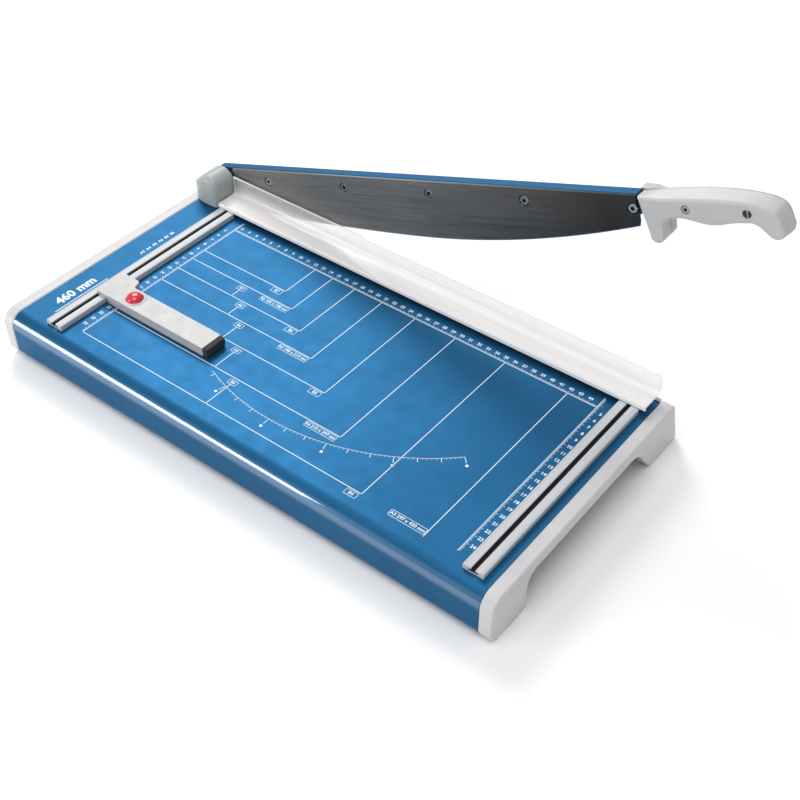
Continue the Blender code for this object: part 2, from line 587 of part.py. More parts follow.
def build_clamp(slide):
    """The clear guard with the pressing bar and rubber strip under it, on two sprung posts."""
    guard = prism("guard", guard_outline(), "X", *GUARD_X, "clear_plastic", slide)
    half = (GUARD_X[1] - GUARD_X[0]) / 2 * MM
    round_edges(guard.data, lambda co: co.z > half * 0.99 and co.y > (GUARD_TOP - 0.5) * MM, 8.0, 5)
    deep, high = (GUARD_FRONT + 2.4, -9), (POST_TOP + GAP, FLANGE_Z - GAP)
    bar = box("clamp_bar", (-14, 486), deep, high, "aluminium", slide)
    soften(bar, 0.4, 1)
    box("clamp_pad", (14, 468), (GUARD_FRONT + 3.2, -10), (4.6, POST_TOP), "rubber", slide)
    lift = box("lift_bar", (-2, 484), (-23, -11), LIFT_BAR_Z, "bright_steel", slide)
    for side, x in POSTS_X.items():
        place = (x, POSTS_Y)
        post, bore = [(POST_RADIUS, POST_BOTTOM, POST_TOP)], [(POST_RADIUS + GAP, -45, -25)]
        stepped("guide_post_" + side, post, "Z", place, "bright_steel", slide)
        cut(lift, stepped("lift_hole_" + side, bore, "Z", place, parent=slide))
        ring("guide_bushing_" + side, POST_RADIUS + GAP, 6, *BUSHING_Z, "Z", place, "brass")
        low, high = LIFT_BAR_Z[1] + GAP, BUSHING_Z[0] - GAP
        spring("clamp_spring_" + side, 4.5, 0.6, 7, low, high, place, "bright_steel")
        nut_top = LIFT_BAR_Z[0] - GAP
        hexagon = arc(place, 5.8, 0, 300, 5)
        nut = prism("post_nut_" + side, hexagon, "Z", nut_top - 3, nut_top, "bright_steel", slide)
        cut(nut, stepped("nut_bore_" + side, bore, "Z", place, parent=slide))


# --------------------------------------------------------------------------- backstop
def build_backstop(slide, press):
    """The paper stop that runs in the left rail, with its red release button."""
    low, high = STOP_X
    head = [(low, STOP_FRONT + 2), (low + 2, STOP_FRONT), (high, STOP_FRONT), (high, STOP_BACK)]
    head += [(13, STOP_BACK)] + arc((9, STOP_HEAD_BACK - 5), 5, 0, 90, 4)
    head += [(low + 4, STOP_HEAD_BACK), (low, STOP_HEAD_BACK - 4)]
    stop = prism("backstop_arm", head, "Z", RAIL_TOP + GAP, STOP_TOP, "off_white_plastic", slide)
    beside = LEFT_RAIL_X + RAIL_WIDTH / 2 + 0.6
    body = [(max(x, beside), y) for x, y in head]
    body = [point for i, point in enumerate(body) if point != body[i - 1]]
    boolean(stop, prism("stop_body", body, "Z", 0.6, RAIL_TOP + 2, parent=slide), "UNION")
    place = (BUTTON_X, BUTTON_Y)
    cut(stop, stepped("button_pocket", [(BUTTON_RADIUS + GAP, 2.0, 14)], "Z", place, parent=slide))
    soften(stop, 0.8, 2)
    deep = (STOP_FRONT + 0.3, STOP_BACK - 0.3)
    box("backstop_tip", (high + GAP, high + 6), deep, (0.9, STOP_TOP - 0.3), "rubber", slide)
    half_tee = [(4.1, 2.1), (4.1, 3.4), (1.9, 3.4), (1.9, RAIL_TOP)]
    tee = [(LEFT_RAIL_X + x, z) for x, z in half_tee]
    tee += [(LEFT_RAIL_X - x, z) for x, z in reversed(half_tee)]
    prism("backstop_slider", tee, "Y", STOP_FRONT + 1, STOP_HEAD_BACK - 1, "bright_steel", slide)
    shoulder = STOP_TOP + 0.8
    dome = [(BUTTON_RADIUS * sin(a), shoulder + (BUTTON_TOP - shoulder) * cos(a))
            for a in (radians(15 * i) for i in range(7))]
    dome[0] = (0, BUTTON_TOP)
    dome += [(BUTTON_RADIUS, BUTTON_Z), (0, BUTTON_Z)]
    turned("lock_button", dome, "Z", place, "red_plastic", press)
    spring("button_spring", 5.0, 0.4, 3, 2.0 + GAP, BUTTON_Z - GAP, place, "bright_steel", slide)


# --------------------------------------------------------------------------- assembly
def stand_on_origin():
    """Move everything so that the world origin is under the middle of the object, on its base."""
    graph = bpy.context.evaluated_depsgraph_get()
    corners = []
    for obj in PARTS.objects:
        if obj.type == "MESH":
            shown = obj.evaluated_get(graph)
            corners += [shown.matrix_world @ vert.co for vert in shown.data.vertices]
    low = Vector([min(corner[i] for corner in corners) for i in range(3)])
    high = Vector([max(corner[i] for corner in corners) for i in range(3)])
    shift = Vector((-(low.x + high.x) / 2, -(low.y + high.y) / 2, -low.z))
    for obj in list(PARTS.objects) + list(CUTTERS.objects):
        if obj.parent is None:
            obj.location += shift


clear_scene()
PARTS = new_collection("paper_cutter")
CUTTERS = new_collection("cutters")

arm_hinge = frame_empty("arm_hinge", (PIVOT_X, 0, PIVOT_Z), (0, -REST_ANGLE, 0))
clamp_slide = frame_empty("clamp_slide")
backstop_slide = frame_empty("backstop_slide")
button_press = frame_empty("button_press", parent=backstop_slide)

build_panel()
build_caps()
build_rails()
build_cross_rails()
build_counter_blade()
build_bracket()
build_pivot()
build_arm(arm_hinge)
build_handle(arm_hinge)
build_clamp(clamp_slide)
build_backstop(backstop_slide, button_press)
stand_on_origin()
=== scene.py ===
"""The looks of a guillotine paper cutter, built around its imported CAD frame.

Sizes are in millimetres in the table's frame, as in the part's source: +X along the cut from the pivot to
the handle, +Y from the operator to the cut, +Z up, the cut in the plane y = 0 and the table's top in z = 0.
Pieces of the arm are drawn in the arm's frame: x along the arm from the pivot, z square to it.
"""

import json
from math import cos, pi, radians, sin

import bmesh
import bpy
from mathutils import Matrix, Vector


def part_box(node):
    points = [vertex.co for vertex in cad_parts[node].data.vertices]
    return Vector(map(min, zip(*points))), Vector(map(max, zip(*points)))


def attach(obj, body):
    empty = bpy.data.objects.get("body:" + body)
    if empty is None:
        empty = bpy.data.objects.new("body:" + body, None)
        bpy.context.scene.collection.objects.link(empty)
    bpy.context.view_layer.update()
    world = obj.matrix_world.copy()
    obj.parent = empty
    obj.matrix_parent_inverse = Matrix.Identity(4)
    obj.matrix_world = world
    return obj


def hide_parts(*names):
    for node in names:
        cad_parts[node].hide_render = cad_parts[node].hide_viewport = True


MM = 0.001
REST_ANGLE = 18.55              # the arm's angle above the table at rest

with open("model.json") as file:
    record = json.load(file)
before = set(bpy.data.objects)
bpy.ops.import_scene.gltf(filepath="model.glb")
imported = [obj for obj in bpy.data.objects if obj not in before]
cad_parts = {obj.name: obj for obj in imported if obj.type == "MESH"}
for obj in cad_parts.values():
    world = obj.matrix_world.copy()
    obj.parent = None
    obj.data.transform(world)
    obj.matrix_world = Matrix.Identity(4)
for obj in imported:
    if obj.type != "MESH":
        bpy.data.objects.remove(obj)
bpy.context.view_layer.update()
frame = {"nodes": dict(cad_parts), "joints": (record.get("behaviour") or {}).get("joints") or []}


def middle(node):
    low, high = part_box(node)
    return (low + high) / 2


RAIL_FROM_EDGE = 10.0           # the left rail's middle is this far left of x = 0
TABLE_ORIGIN = Vector((middle("rail_left").x + RAIL_FROM_EDGE * MM,
                       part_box("counter_blade")[1].y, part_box("table_panel")[1].z))
TABLE = Matrix.Translation(TABLE_ORIGIN)
HINGE = next(joint for joint in frame["joints"] if joint["name"] == "arm_hinge")
ARM = Matrix.Translation(HINGE["pos_m"]) @ Matrix.Rotation(radians(-REST_ANGLE), 4, "Y")


def span(node, axis):
    """The lowest and highest x, y or z of a CAD node, in the table's frame."""
    i = "XYZ".index(axis)
    return tuple((corner[i] - TABLE_ORIGIN[i]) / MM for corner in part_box(node))


# -------------------------------------------------------- materials
def node(tree, kind, values=(), **settings):
    """A shader node. values pairs a socket's name or number with a value or with the socket it's fed by."""
    made = tree.nodes.new("ShaderNode" + kind)
    for key, value in settings.items():
        setattr(made, key, value)
    for key, value in values:
        if isinstance(value, bpy.types.NodeSocket):
            tree.links.new(value, made.inputs[key])
        else:
            made.inputs[key].default_value = value
    return made


def start(name, **sockets):
    """A new material, its node tree, its shader and its object coordinates in metres."""
    material = bpy.data.materials.new(name)
    material.use_nodes = True
    tree = material.node_tree
    shader = tree.nodes["Principled BSDF"]
    for key, value in sockets.items():
        shader.inputs[key.replace("_", " ")].default_value = value
    coordinates = node(tree, "TexCoord").outputs["Object"]
    return material, tree, shader, coordinates


def noise(tree, coordinates, scale, detail=2.0, roughness=0.5):
    values = [("Vector", coordinates), ("Scale", scale), ("Detail", detail), ("Roughness", roughness)]
    return node(tree, "TexNoise", values).outputs["Fac"]


def stretched(tree, coordinates, scale):
    return node(tree, "Mapping", [("Vector", coordinates), ("Scale", scale)]).outputs[0]


def mixed(tree, factor, first, second):
    """A blend of two colours."""
    made = node(tree, "Mix", data_type="RGBA")
    for number, value in ((0, factor), (6, first), (7, second)):
        if isinstance(value, bpy.types.NodeSocket):
            tree.links.new(value, made.inputs[number])
        else:
            made.inputs[number].default_value = value
    return made.outputs[2]


def ranged(tree, value, low, high, to_low, to_high):
    values = [("Value", value), ("From Min", low), ("From Max", high)]
    values += [("To Min", to_low), ("To Max", to_high)]
    return node(tree, "MapRange", values).outputs["Result"]


def relief(tree, shader, height, strength, depth):
    """A bump on the shader; depth in metres."""
    values = [("Height", height), ("Strength", strength), ("Distance", depth)]
    tree.links.new(node(tree, "Bump", values).outputs["Normal"], shader.inputs["Normal"])


def grey(value, warm=0.0):
    return (value * (1 + warm), value, value * (1 - warm), 1)


def scaled(colour, factor):
    return tuple(channel * factor for channel in colour[:3]) + (1,)


def powder_coat(name, colour):
    """Satin metallic paint: flakes, orange peel and slow unevenness, with a gloss band along the nose."""
    material, tree, shader, at = start(name, Metallic=0.7, Coat_Roughness=0.07, Coat_IOR=2.0,
                                       Specular_IOR_Level=0.1)
    parts = node(tree, "SeparateXYZ", [("Vector", at)])
    full, gone = (y * MM for y in GLOSS_BACK)
    ahead = ranged(tree, parts.outputs["Y"], full, gone, 1, 0)
    none, whole = (z * MM for z in GLOSS_FOOT)
    above = ranged(tree, parts.outputs["Z"], none, whole, 0, 1)
    band = node(tree, "Math", [(0, ahead), (1, above)], operation="MULTIPLY").outputs[0]
    tree.links.new(band, shader.inputs["Coat Weight"])
    flakes = noise(tree, at, 5200, 1)
    cloud = noise(tree, at, 11, 3)
    tone = mixed(tree, ranged(tree, cloud, 0.35, 0.65, 0, 1), scaled(colour, 0.93), scaled(colour, 1.06))
    glint = mixed(tree, ranged(tree, flakes, 0.45, 0.75, 0, 0.35), tone, scaled(colour, 1.7))
    tree.links.new(glint, shader.inputs["Base Color"])
    tree.links.new(ranged(tree, noise(tree, at, 70, 4), 0.3, 0.7, 0.46, 0.52), shader.inputs["Roughness"])
    relief(tree, shader, noise(tree, at, 620, 2), 0.10, 0.0002)
    return material


def plastic(name, colour, roughness, grain=0.12, **sockets):
    """Moulded plastic: fine spark-eroded grain, faint flow clouds and handling marks."""
    material, tree, shader, at = start(name, **sockets)
    cloud = noise(tree, at, 24, 4, 0.6)
    tone = mixed(tree, ranged(tree, cloud, 0.3, 0.7, 0, 1), scaled(colour, 0.95), scaled(colour, 1.04))
    speck = ranged(tree, noise(tree, at, 1700, 2), 0.55, 0.8, 0, 0.25)
    tree.links.new(mixed(tree, speck, tone, scaled(colour, 0.82)), shader.inputs["Base Color"])
    rough = ranged(tree, noise(tree, at, 130, 5), 0.3, 0.7, roughness - 0.05, roughness + 0.07)
    tree.links.new(rough, shader.inputs["Roughness"])
    relief(tree, shader, noise(tree, at, 2300, 3), grain, 0.0002)
    return material


def brushed(name, colour, roughness, along, turn=0, contrast=0.16, painted_shade=None, **sockets):
    """Metal with fine lines along an axis, which turn tilts up about y. It may be given a painted shade: its
    colour darkens between two x.
    """
    material, tree, shader, at = start(name, **{"Metallic": 1.0, **sockets})
    at = node(tree, "Mapping", [("Vector", at), ("Rotation", (0, radians(turn), 0))]).outputs[0]
    fine = [4200, 4200, 4200]
    broad = [700, 700, 700]
    fine["XYZ".index(along)] = 40
    broad["XYZ".index(along)] = 9
    fine_lines = noise(tree, stretched(tree, at, fine), 1, 2)
    broad_lines = noise(tree, stretched(tree, at, broad), 1, 3)
    both = node(tree, "Math", [(0, fine_lines), (1, broad_lines)], operation="ADD").outputs[0]
    amount = ranged(tree, both, 0.75, 1.25, 0, 1)
    tone = mixed(tree, amount, scaled(colour, 1 - contrast), scaled(colour, 1 + contrast))
    # painted shade: the colour darkens between two x to a share of its tone
    if painted_shade:
        begin, end, share = painted_shade
        place = node(tree, "SeparateXYZ", [("Vector", at)]).outputs["X"]
        tone = mixed(tree, ranged(tree, place, begin, end, 0, 1), tone, scaled(colour, share))
    tree.links.new(tone, shader.inputs["Base Color"])
    rough = ranged(tree, both, 0.7, 1.3, roughness - 0.06, roughness + 0.08)
    tree.links.new(rough, shader.inputs["Roughness"])
    relief(tree, shader, both, 0.10, 0.0001)
    return material


def cast(name, colour, roughness, metallic=1.0):
    """Plated or turned small parts: slight mottling and fine marks."""
    material, tree, shader, at = start(name, Metallic=metallic)
    mottle = noise(tree, at, 900, 4, 0.6)
    tone = mixed(tree, ranged(tree, mottle, 0.3, 0.7, 0, 1), scaled(colour, 0.85), scaled(colour, 1.1))
    tree.links.new(tone, shader.inputs["Base Color"])
    rough = ranged(tree, mottle, 0.3, 0.7, roughness - 0.05, roughness + 0.08)
    tree.links.new(rough, shader.inputs["Roughness"])
    relief(tree, shader, noise(tree, at, 1500, 2), 0.06, 0.0001)
    return material


def rubber(name):
    material, tree, shader, at = start(name, Specular_IOR_Level=0.35)
    dust = ranged(tree, noise(tree, at, 260, 5, 0.65), 0.5, 0.75, 0, 1)
    tree.links.new(mixed(tree, dust, grey(0.03), grey(0.06, 0.04)), shader.inputs["Base Color"])
    tree.links.new(ranged(tree, dust, 0, 1, 0.72, 0.85), shader.inputs["Roughness"])
    relief(tree, shader, noise(tree, at, 1900, 3), 0.3, 0.0002)
    return material


def acrylic(name, low_opacity, high_opacity, colour):
    """Clear sheet seen as a milky film, milkier low down: faint wiped haze and extrusion waves along x."""
    material, tree, shader, at = start(name, Roughness=0.12, IOR=1.49)
    haze = noise(tree, stretched(tree, at, (6, 60, 60)), 1, 4, 0.6)
    tree.links.new(mixed(tree, ranged(tree, haze, 0.3, 0.7, 0, 1), scaled(colour, 0.95), colour),
                   shader.inputs["Base Color"])
    height = node(tree, "SeparateXYZ", [("Vector", at)]).outputs["Z"]
    opacity = ranged(tree, height, 0.0105, 0.022, low_opacity, high_opacity)
    uneven = ranged(tree, haze, 0.3, 0.7, 0.9, 1.1)
    tree.links.new(node(tree, "Math", [(0, opacity), (1, uneven)], operation="MULTIPLY").outputs[0],
                   shader.inputs["Alpha"])
    relief(tree, shader, noise(tree, stretched(tree, at, (9, 120, 120)), 1, 2), 0.15, 0.0003)
    return material


def ink(name, colour):
    """Screen-printed ink with a faintly uneven cover."""
    material, tree, shader, at = start(name, Specular_IOR_Level=0.3)
    cover = ranged(tree, noise(tree, at, 2600, 3), 0.35, 0.6, 0, 1)
    tree.links.new(mixed(tree, cover, scaled(colour, 0.86), colour), shader.inputs["Base Color"])
    tree.links.new(ranged(tree, cover, 0, 1, 0.5, 0.42), shader.inputs["Roughness"])
    return material


NOSE_FRONT, NOSE_BOTTOM = -278.0, -48.0
NOSE_TOP_RADIUS, NOSE_FOOT_RADIUS = 14.0, 10.5
GLOSS_BACK = (NOSE_FRONT + 3.5, NOSE_FRONT + 5.0)    # the gloss band fades out between these two y
GLOSS_FOOT = (-16.0, -11.0)                          # and fades in between these two z
BLADE_PAINTED_SHADE = (0.25, 0.48, 0.2)  # painted shade that darkens the blade towards its handle end: from and to, in metres along the blade, and the share of its tone left there

BLUE = powder_coat("blue_paint", (0.015, 0.106, 0.232, 1))
CAP_PLASTIC = plastic("cap_plastic", (0.57, 0.565, 0.575, 1), 0.42, grain=0.2)
HANDLE_PLASTIC = plastic("handle_plastic", (0.49, 0.49, 0.49, 1), 0.42)
BRACKET_PLASTIC = plastic("bracket_plastic", (0.36, 0.39, 0.385, 1), 0.36)
STOP_PLASTIC = plastic("stop_plastic", (0.45, 0.44, 0.44, 1), 0.36, grain=0.08)
RED_PLASTIC = plastic("red_plastic", (0.66, 0.022, 0.045, 1), 0.2, grain=0.03, Coat_Weight=0.5)
ACRYLIC = acrylic("acrylic", 0.62, 0.27, (0.96, 0.94, 0.925, 1))
# brighter, near-opaque sheet for the guard's cut edges: painted highlight
ACRYLIC_EDGE_HIGHLIGHT = acrylic("acrylic_edge_highlight", 0.85, 0.85, (0.97, 0.98, 1.0, 1))
RUBBER = rubber("rubber")
RAIL_ALUMINIUM = brushed("rail_aluminium", (0.52, 0.54, 0.56, 1), 0.55, "Y", contrast=0.06, Metallic=0.15)
# near-black for the faces inside the rails' slot: painted shade
RAIL_SLOT_SHADE = brushed("rail_slot_painted_shade", (0.05, 0.045, 0.042, 1), 0.6, "Y", contrast=0.2)
BAR_ALUMINIUM = brushed("bar_aluminium", (0.86, 0.84, 0.82, 1), 0.45, "X", contrast=0.05)
# the blade's steel is painted darker towards its handle end, a painted shade
BLADE_STEEL = brushed("blade_steel", (0.27, 0.255, 0.235, 1), 0.42, "X", REST_ANGLE, 0.14, BLADE_PAINTED_SHADE)
EDGE_STEEL = brushed("edge_steel", (0.62, 0.63, 0.64, 1), 0.24, "X", REST_ANGLE, 0.12)
GROUND_STEEL = brushed("ground_steel", (0.62, 0.63, 0.64, 1), 0.24, "X", contrast=0.12)
# zinc plating; also the bright inside of one grip screw's slot, a painted highlight
ZINC_AND_SLOT_HIGHLIGHT = cast("zinc_and_slot_highlight", (0.56, 0.57, 0.58, 1), 0.34)
SCREW_STEEL = cast("screw_steel", (0.48, 0.49, 0.50, 1), 0.28)
# near-black steel: the dark head of one grip screw, and painted shade inside the screw sockets and holes
DARK_STEEL_AND_RECESS_SHADE = cast("black_steel_and_recess_shade", (0.06, 0.06, 0.065, 1), 0.38)
BRASS = cast("brass", (0.62, 0.44, 0.17, 1), 0.3)
INK = ink("ink", (0.80, 0.90, 0.97, 1))


# -------------------------------------------------------- mesh helpers
AXIS_ORDER = {
    "X": lambda first, second, along: (along, first, second),
    "Y": lambda first, second, along: (first, along, second),
    "Z": lambda first, second, along: (first, second, along),
}


def arc(centre, radius, begin, end, count):
    """Points along a circle from one angle to another, in degrees."""
    angles = [radians(begin + (end - begin) * i / count) for i in range(count + 1)]
    return [(centre[0] + radius * cos(angle), centre[1] + radius * sin(angle)) for angle in angles]


def rounded(x, y, radius, count=6):
    """A rectangle's outline with round corners."""
    points = []
    corners = ((x[1], y[1], 0), (x[0], y[1], 90), (x[0], y[0], 180), (x[1], y[0], 270))
    for corner_x, corner_y, begin in corners:
        centre_x = corner_x - radius if corner_x == x[1] else corner_x + radius
        centre_y = corner_y - radius if corner_y == y[1] else corner_y + radius
        points += arc((centre_x, centre_y), radius, begin, begin + 90, count)
    return points


def loft(rings, closed_ends=True):
    """Faces between rings of equal length, with a face on each end."""
    bm = bmesh.new()
    made = [[bm.verts.new(point) for point in ring] for ring in rings]
    for low, high in zip(made, made[1:]):
        for i in range(len(low)):
            j = (i + 1) % len(low)
            bm.faces.new((low[i], low[j], high[j], high[i]))
    if closed_ends:
        bm.faces.new(made[0])
        bm.faces.new(made[-1])
    bmesh.ops.recalc_face_normals(bm, faces=bm.faces)
    return bm


def prism(outline, axis, low, high):
    """A flat outline, drawn square to an axis, made solid between two places along that axis."""
    place = AXIS_ORDER[axis]
    return loft([[place(first, second, along) for first, second in outline] for along in (low, high)])


def block(x, y, z):
    return prism([(x[0], y[0]), (x[1], y[0]), (x[1], y[1]), (x[0], y[1])], "Z", *z)


def lathe(profile, axis, across, count=48):
    """A profile of (radius, along) points turned about an axis, open only where it doesn't meet the axis."""
    bm = bmesh.new()
    place = AXIS_ORDER[axis]
    rings = []
    for radius, along in profile:
        steps = count if radius > 0 else 1
        angles = [2 * pi * i / steps for i in range(steps)]
        points = [(across[0] + radius * cos(angle), across[1] + radius * sin(angle)) for angle in angles]
        rings.append([bm.verts.new(place(first, second, along)) for first, second in points])
    for low, high in zip(rings, rings[1:]):
        for i in range(count):
            j = i + 1
            corners = [low[i % len(low)], low[j % len(low)], high[j % len(high)], high[i % len(high)]]
            bm.faces.new(dict.fromkeys(corners))
    bmesh.ops.recalc_face_normals(bm, faces=bm.faces)
    return bm


def cylinder(radius, axis, across, low, high, count=48):
    return lathe([(0, high), (radius, high), (radius, low), (0, low)], axis, across, count)


def softened(bm, width, segments=3, chosen=None, angle=30):
    """The bmesh with its sharp edges rounded, or only those whose two ends satisfy a test."""
    edges = [edge for edge in bm.edges
             if len(edge.link_faces) == 2 and edge.calc_face_angle(0) > radians(angle)]
    if chosen:
        edges = [edge for edge in edges if all(chosen(vert.co) for vert in edge.verts)]
    bmesh.ops.bevel(bm, geom=edges, offset=width, segments=segments, profile=0.5, affect="EDGES",
                    clamp_overlap=True)
    return bm


def join(*parts):
    """One bmesh that holds several."""
    bm = bmesh.new()
    for part in parts:
        held = bpy.data.meshes.new("part")
        part.to_mesh(held)
        part.free()
        bm.from_mesh(held)
        bpy.data.meshes.remove(held)
    return bm


def plain_object(bm):
    mesh = bpy.data.meshes.new("work")
    bm.to_mesh(mesh)
    bm.free()
    obj = bpy.data.objects.new("work", mesh)
    bpy.context.scene.collection.objects.link(obj)
    return obj


def shaped(bm, cuts=(), unions=(), common=(), voxel=None, smooth=0):
    """The bmesh after booleans with other bmeshes, and then a voxel remesh and smoothing if asked for."""
    target = plain_object(bm)
    tools = []
    for operation, others in (("INTERSECT", common), ("UNION", unions), ("DIFFERENCE", cuts)):
        for other in others:
            tools.append(plain_object(other))
            step = target.modifiers.new("Shape", "BOOLEAN")
            step.operation = operation
            step.solver = "EXACT"
            step.object = tools[-1]
    if voxel:
        step = target.modifiers.new("Remesh", "REMESH")
        step.mode = "VOXEL"
        step.voxel_size = voxel
    if smooth:
        step = target.modifiers.new("Smooth", "SMOOTH")
        step.factor = 0.5
        step.iterations = smooth
    graph = bpy.context.evaluated_depsgraph_get()
    made = bpy.data.meshes.new_from_object(target.evaluated_get(graph))
    result = bmesh.new()
    result.from_mesh(made)
    bpy.data.meshes.remove(made)
    for obj in [target] + tools:
        mesh = obj.data
        bpy.data.objects.remove(obj)
        bpy.data.meshes.remove(mesh)
    bmesh.ops.remove_doubles(result, verts=result.verts, dist=0.001)
    return result


def piece(name, bm, body, slot, *materials, place=TABLE, replaces=(), angle=32, weighted=True):
    """A finished piece: its mesh scaled to metres, put in place, shaded, and riding on its body."""
    bmesh.ops.scale(bm, vec=(MM, MM, MM), verts=bm.verts)
    mesh = bpy.data.meshes.new(name)
    bm.to_mesh(mesh)
    bm.free()
    for material in materials:
        mesh.materials.append(material)
    mesh.shade_smooth()
    mesh.set_sharp_from_angle(angle=radians(angle))
    mesh.transform(place.to_3x3().to_4x4())
    obj = bpy.data.objects.new(name, mesh)
    bpy.context.scene.collection.objects.link(obj)
    obj.matrix_world = Matrix.Translation(place.translation)
    if weighted:
        step = obj.modifiers.new("Even shading", "WEIGHTED_NORMAL")
        step.keep_sharp = True
    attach(obj, body)
    if replaces:
        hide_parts(*replaces)
    return obj


def carry_over(material, *names):
    """CAD nodes whose shape is right, given a finished material."""
    for name in names:
        mesh = frame["nodes"][name].data
        mesh.materials.clear()
        mesh.materials.append(material)


# -------------------------------------------------------- table
PANEL_SHEET = 1.5
LIP_Y, LIP_TOP = -238.0, -40.0
PANEL_BACK, FLANGE_DROP = -4.3, 24.0
POSTS = ((8.0, -17.0), (474.0, -17.0))


def nose_outline(proud):
    """The front of the table from the side, from the top face to the underside."""
    top, foot = NOSE_TOP_RADIUS, NOSE_FOOT_RADIUS
    outline = arc((NOSE_FRONT + top, -top), top + proud, 90, 180, 28)
    return outline + arc((NOSE_FRONT + foot, NOSE_BOTTOM + foot), foot + proud, 180, 270, 20)


def build_panel():
    """The folded sheet: rear flange, flat top, rounded nose and a return lip under it."""
    sheet, bend = PANEL_SHEET, 2.2
    outline = [(PANEL_BACK, -FLANGE_DROP)] + arc((PANEL_BACK - bend, -bend), bend, 0, 90, 6) + nose_outline(0)
    outline += [(LIP_Y, NOSE_BOTTOM), (LIP_Y, LIP_TOP), (LIP_Y - sheet, LIP_TOP)]
    outline += [(LIP_Y - sheet, NOSE_BOTTOM + sheet)] + nose_outline(-sheet)[::-1]
    outline += arc((PANEL_BACK - bend, -bend), bend - sheet, 90, 0, 3) + [(PANEL_BACK - sheet, -FLANGE_DROP)]
    panel = prism(outline, "X", *span("table_panel", "X"))
    holes = [cylinder(3.5, "Z", post, -10, 10, 24) for post in POSTS]
    panel = shaped(panel, cuts=holes)
    piece("panel", panel, "base", "blue_paint", BLUE, replaces=("table_panel",))


def cap_outline(proud=0.6):
    bottom = NOSE_BOTTOM - proud
    outline = arc((-3.2, proud - 4), 4, 0, 90, 8) + nose_outline(proud) + [(-229.0, bottom)]
    outline += arc((-217.0, -24.0), 12, 180, 90, 12) + arc((-74.0, -37.0), 25, 90, 35, 14)
    return outline + [(-33.5, bottom), (14.0, bottom), (14.0, bottom + 2.5), (0.8, -4.0)]


def build_caps():
    """The moulded end caps: a round outer edge, a small bright chamfer on the inner one."""
    for side, outward in (("left", -1), ("right", 1)):
        low, high = span("cap_" + side, "X")
        outer, inner = (low, high) if outward < 0 else (high, low)
        cap = prism(cap_outline(), "X", low, high)
        softened(cap, 3.2, 5, lambda co: abs(co.x - outer) < 0.01, angle=60)
        softened(cap, 0.9, 1, lambda co: abs(co.x - inner) < 0.01, angle=60)
        piece("end_cap_" + side, cap, "base", "light_plastic", CAP_PLASTIC, replaces=("cap_" + side,))
        for end in ("front", "rear"):
            node_name = "foot_pad_%s_%s" % (side, end)
            pad = prism(rounded(span(node_name, "X"), span(node_name, "Y"), 3), "Z", *span(node_name, "Z"))
            softened(pad, 0.25, 2)
            piece("foot_%s_%s" % (side, end), pad, "base", "rubber", RUBBER, replaces=(node_name,))


SLOT_HALF_WIDTH, SLOT_FLOOR, SLOT_ROOF = 4.5, 1.8, 3.7      # the rails' slot below its lips


def rail_outline():
    """Half of the slotted rail's section, right of its middle, with rounded lips."""
    outline = [(10, 0.3)] + arc((9.1, 4.6), 0.9, 0, 90, 5) + arc((2.6, 5.1), 0.4, 90, 180, 3)
    return outline + [(2.2, SLOT_ROOF), (SLOT_HALF_WIDTH, SLOT_ROOF), (SLOT_HALF_WIDTH, SLOT_FLOOR)]


def build_rails():
    """The two slotted rails: a fine groove along both lands, rounded front ends, and the inside of the slot
    painted near-black, a painted shade.
    """
    half = rail_outline()
    section = half + [(-x, z) for x, z in reversed(half)]
    for side in ("left", "right"):
        name = "rail_" + side
        centre = sum(span(name, "X")) / 2
        front, back = span(name, "Y")
        rail = prism([(centre + across, z) for across, z in section], "Y", front, back)
        grooves = [block((centre + x - 0.2, centre + x + 0.2), (front - 1, back + 1), (5.3, 6.5))
                   for x in (-8.4, 8.4)]
        rail = shaped(rail, cuts=grooves)
        softened(rail, 0.5, 3, lambda co: co.y < front + 0.01 and co.z > 4.9)
        # faces inside the slot, under its lips, are painted dark: painted shade
        for face in rail.faces:
            spot = face.calc_center_median()
            beneath = SLOT_FLOOR - 0.1 < spot.z < SLOT_ROOF + 0.05
            inside = beneath and abs(spot.x - centre) < SLOT_HALF_WIDTH + 0.1
            face.material_index = 1 if inside and abs(face.normal.y) < 0.5 else 0
        piece("slotted_" + name, rail, "base", "aluminium", RAIL_ALUMINIUM, RAIL_SLOT_SHADE, replaces=(name,))


def build_counter_blade():
    """The fixed lower blade: a ground bar with a narrow land at its cutting edge."""
    back, front = 0.0, -4.0
    bottom = span("counter_blade", "Z")[0]
    outline = [(front, -0.4), (front + 0.4, 0), (back, 0), (back, bottom + 0.5), (back - 0.5, bottom),
               (front + 0.5, bottom), (front, bottom + 0.5)]
    bar = prism(outline, "X", *span("counter_blade", "X"))
    screws = [cylinder(2.8, "Y", (x, -12.0), -7, -1, 24) for x in (60.0, 180.0, 300.0, 420.0)]
    bar = shaped(bar, cuts=screws)
    piece("lower_blade", bar, "base", "bright_steel", GROUND_STEEL, replaces=("counter_blade",))


# -------------------------------------------------------- print
INK_LOW, INK_HIGH = 0.01, 0.05
LINE, FINE_LINE = 0.75, 0.32
RULER_LEFT, RULER_RIGHT, RULER_REAR = 15.5, 450.0, -44.0
GUARD_FRONT = -28.5
PRINT_FRONT = -250.0


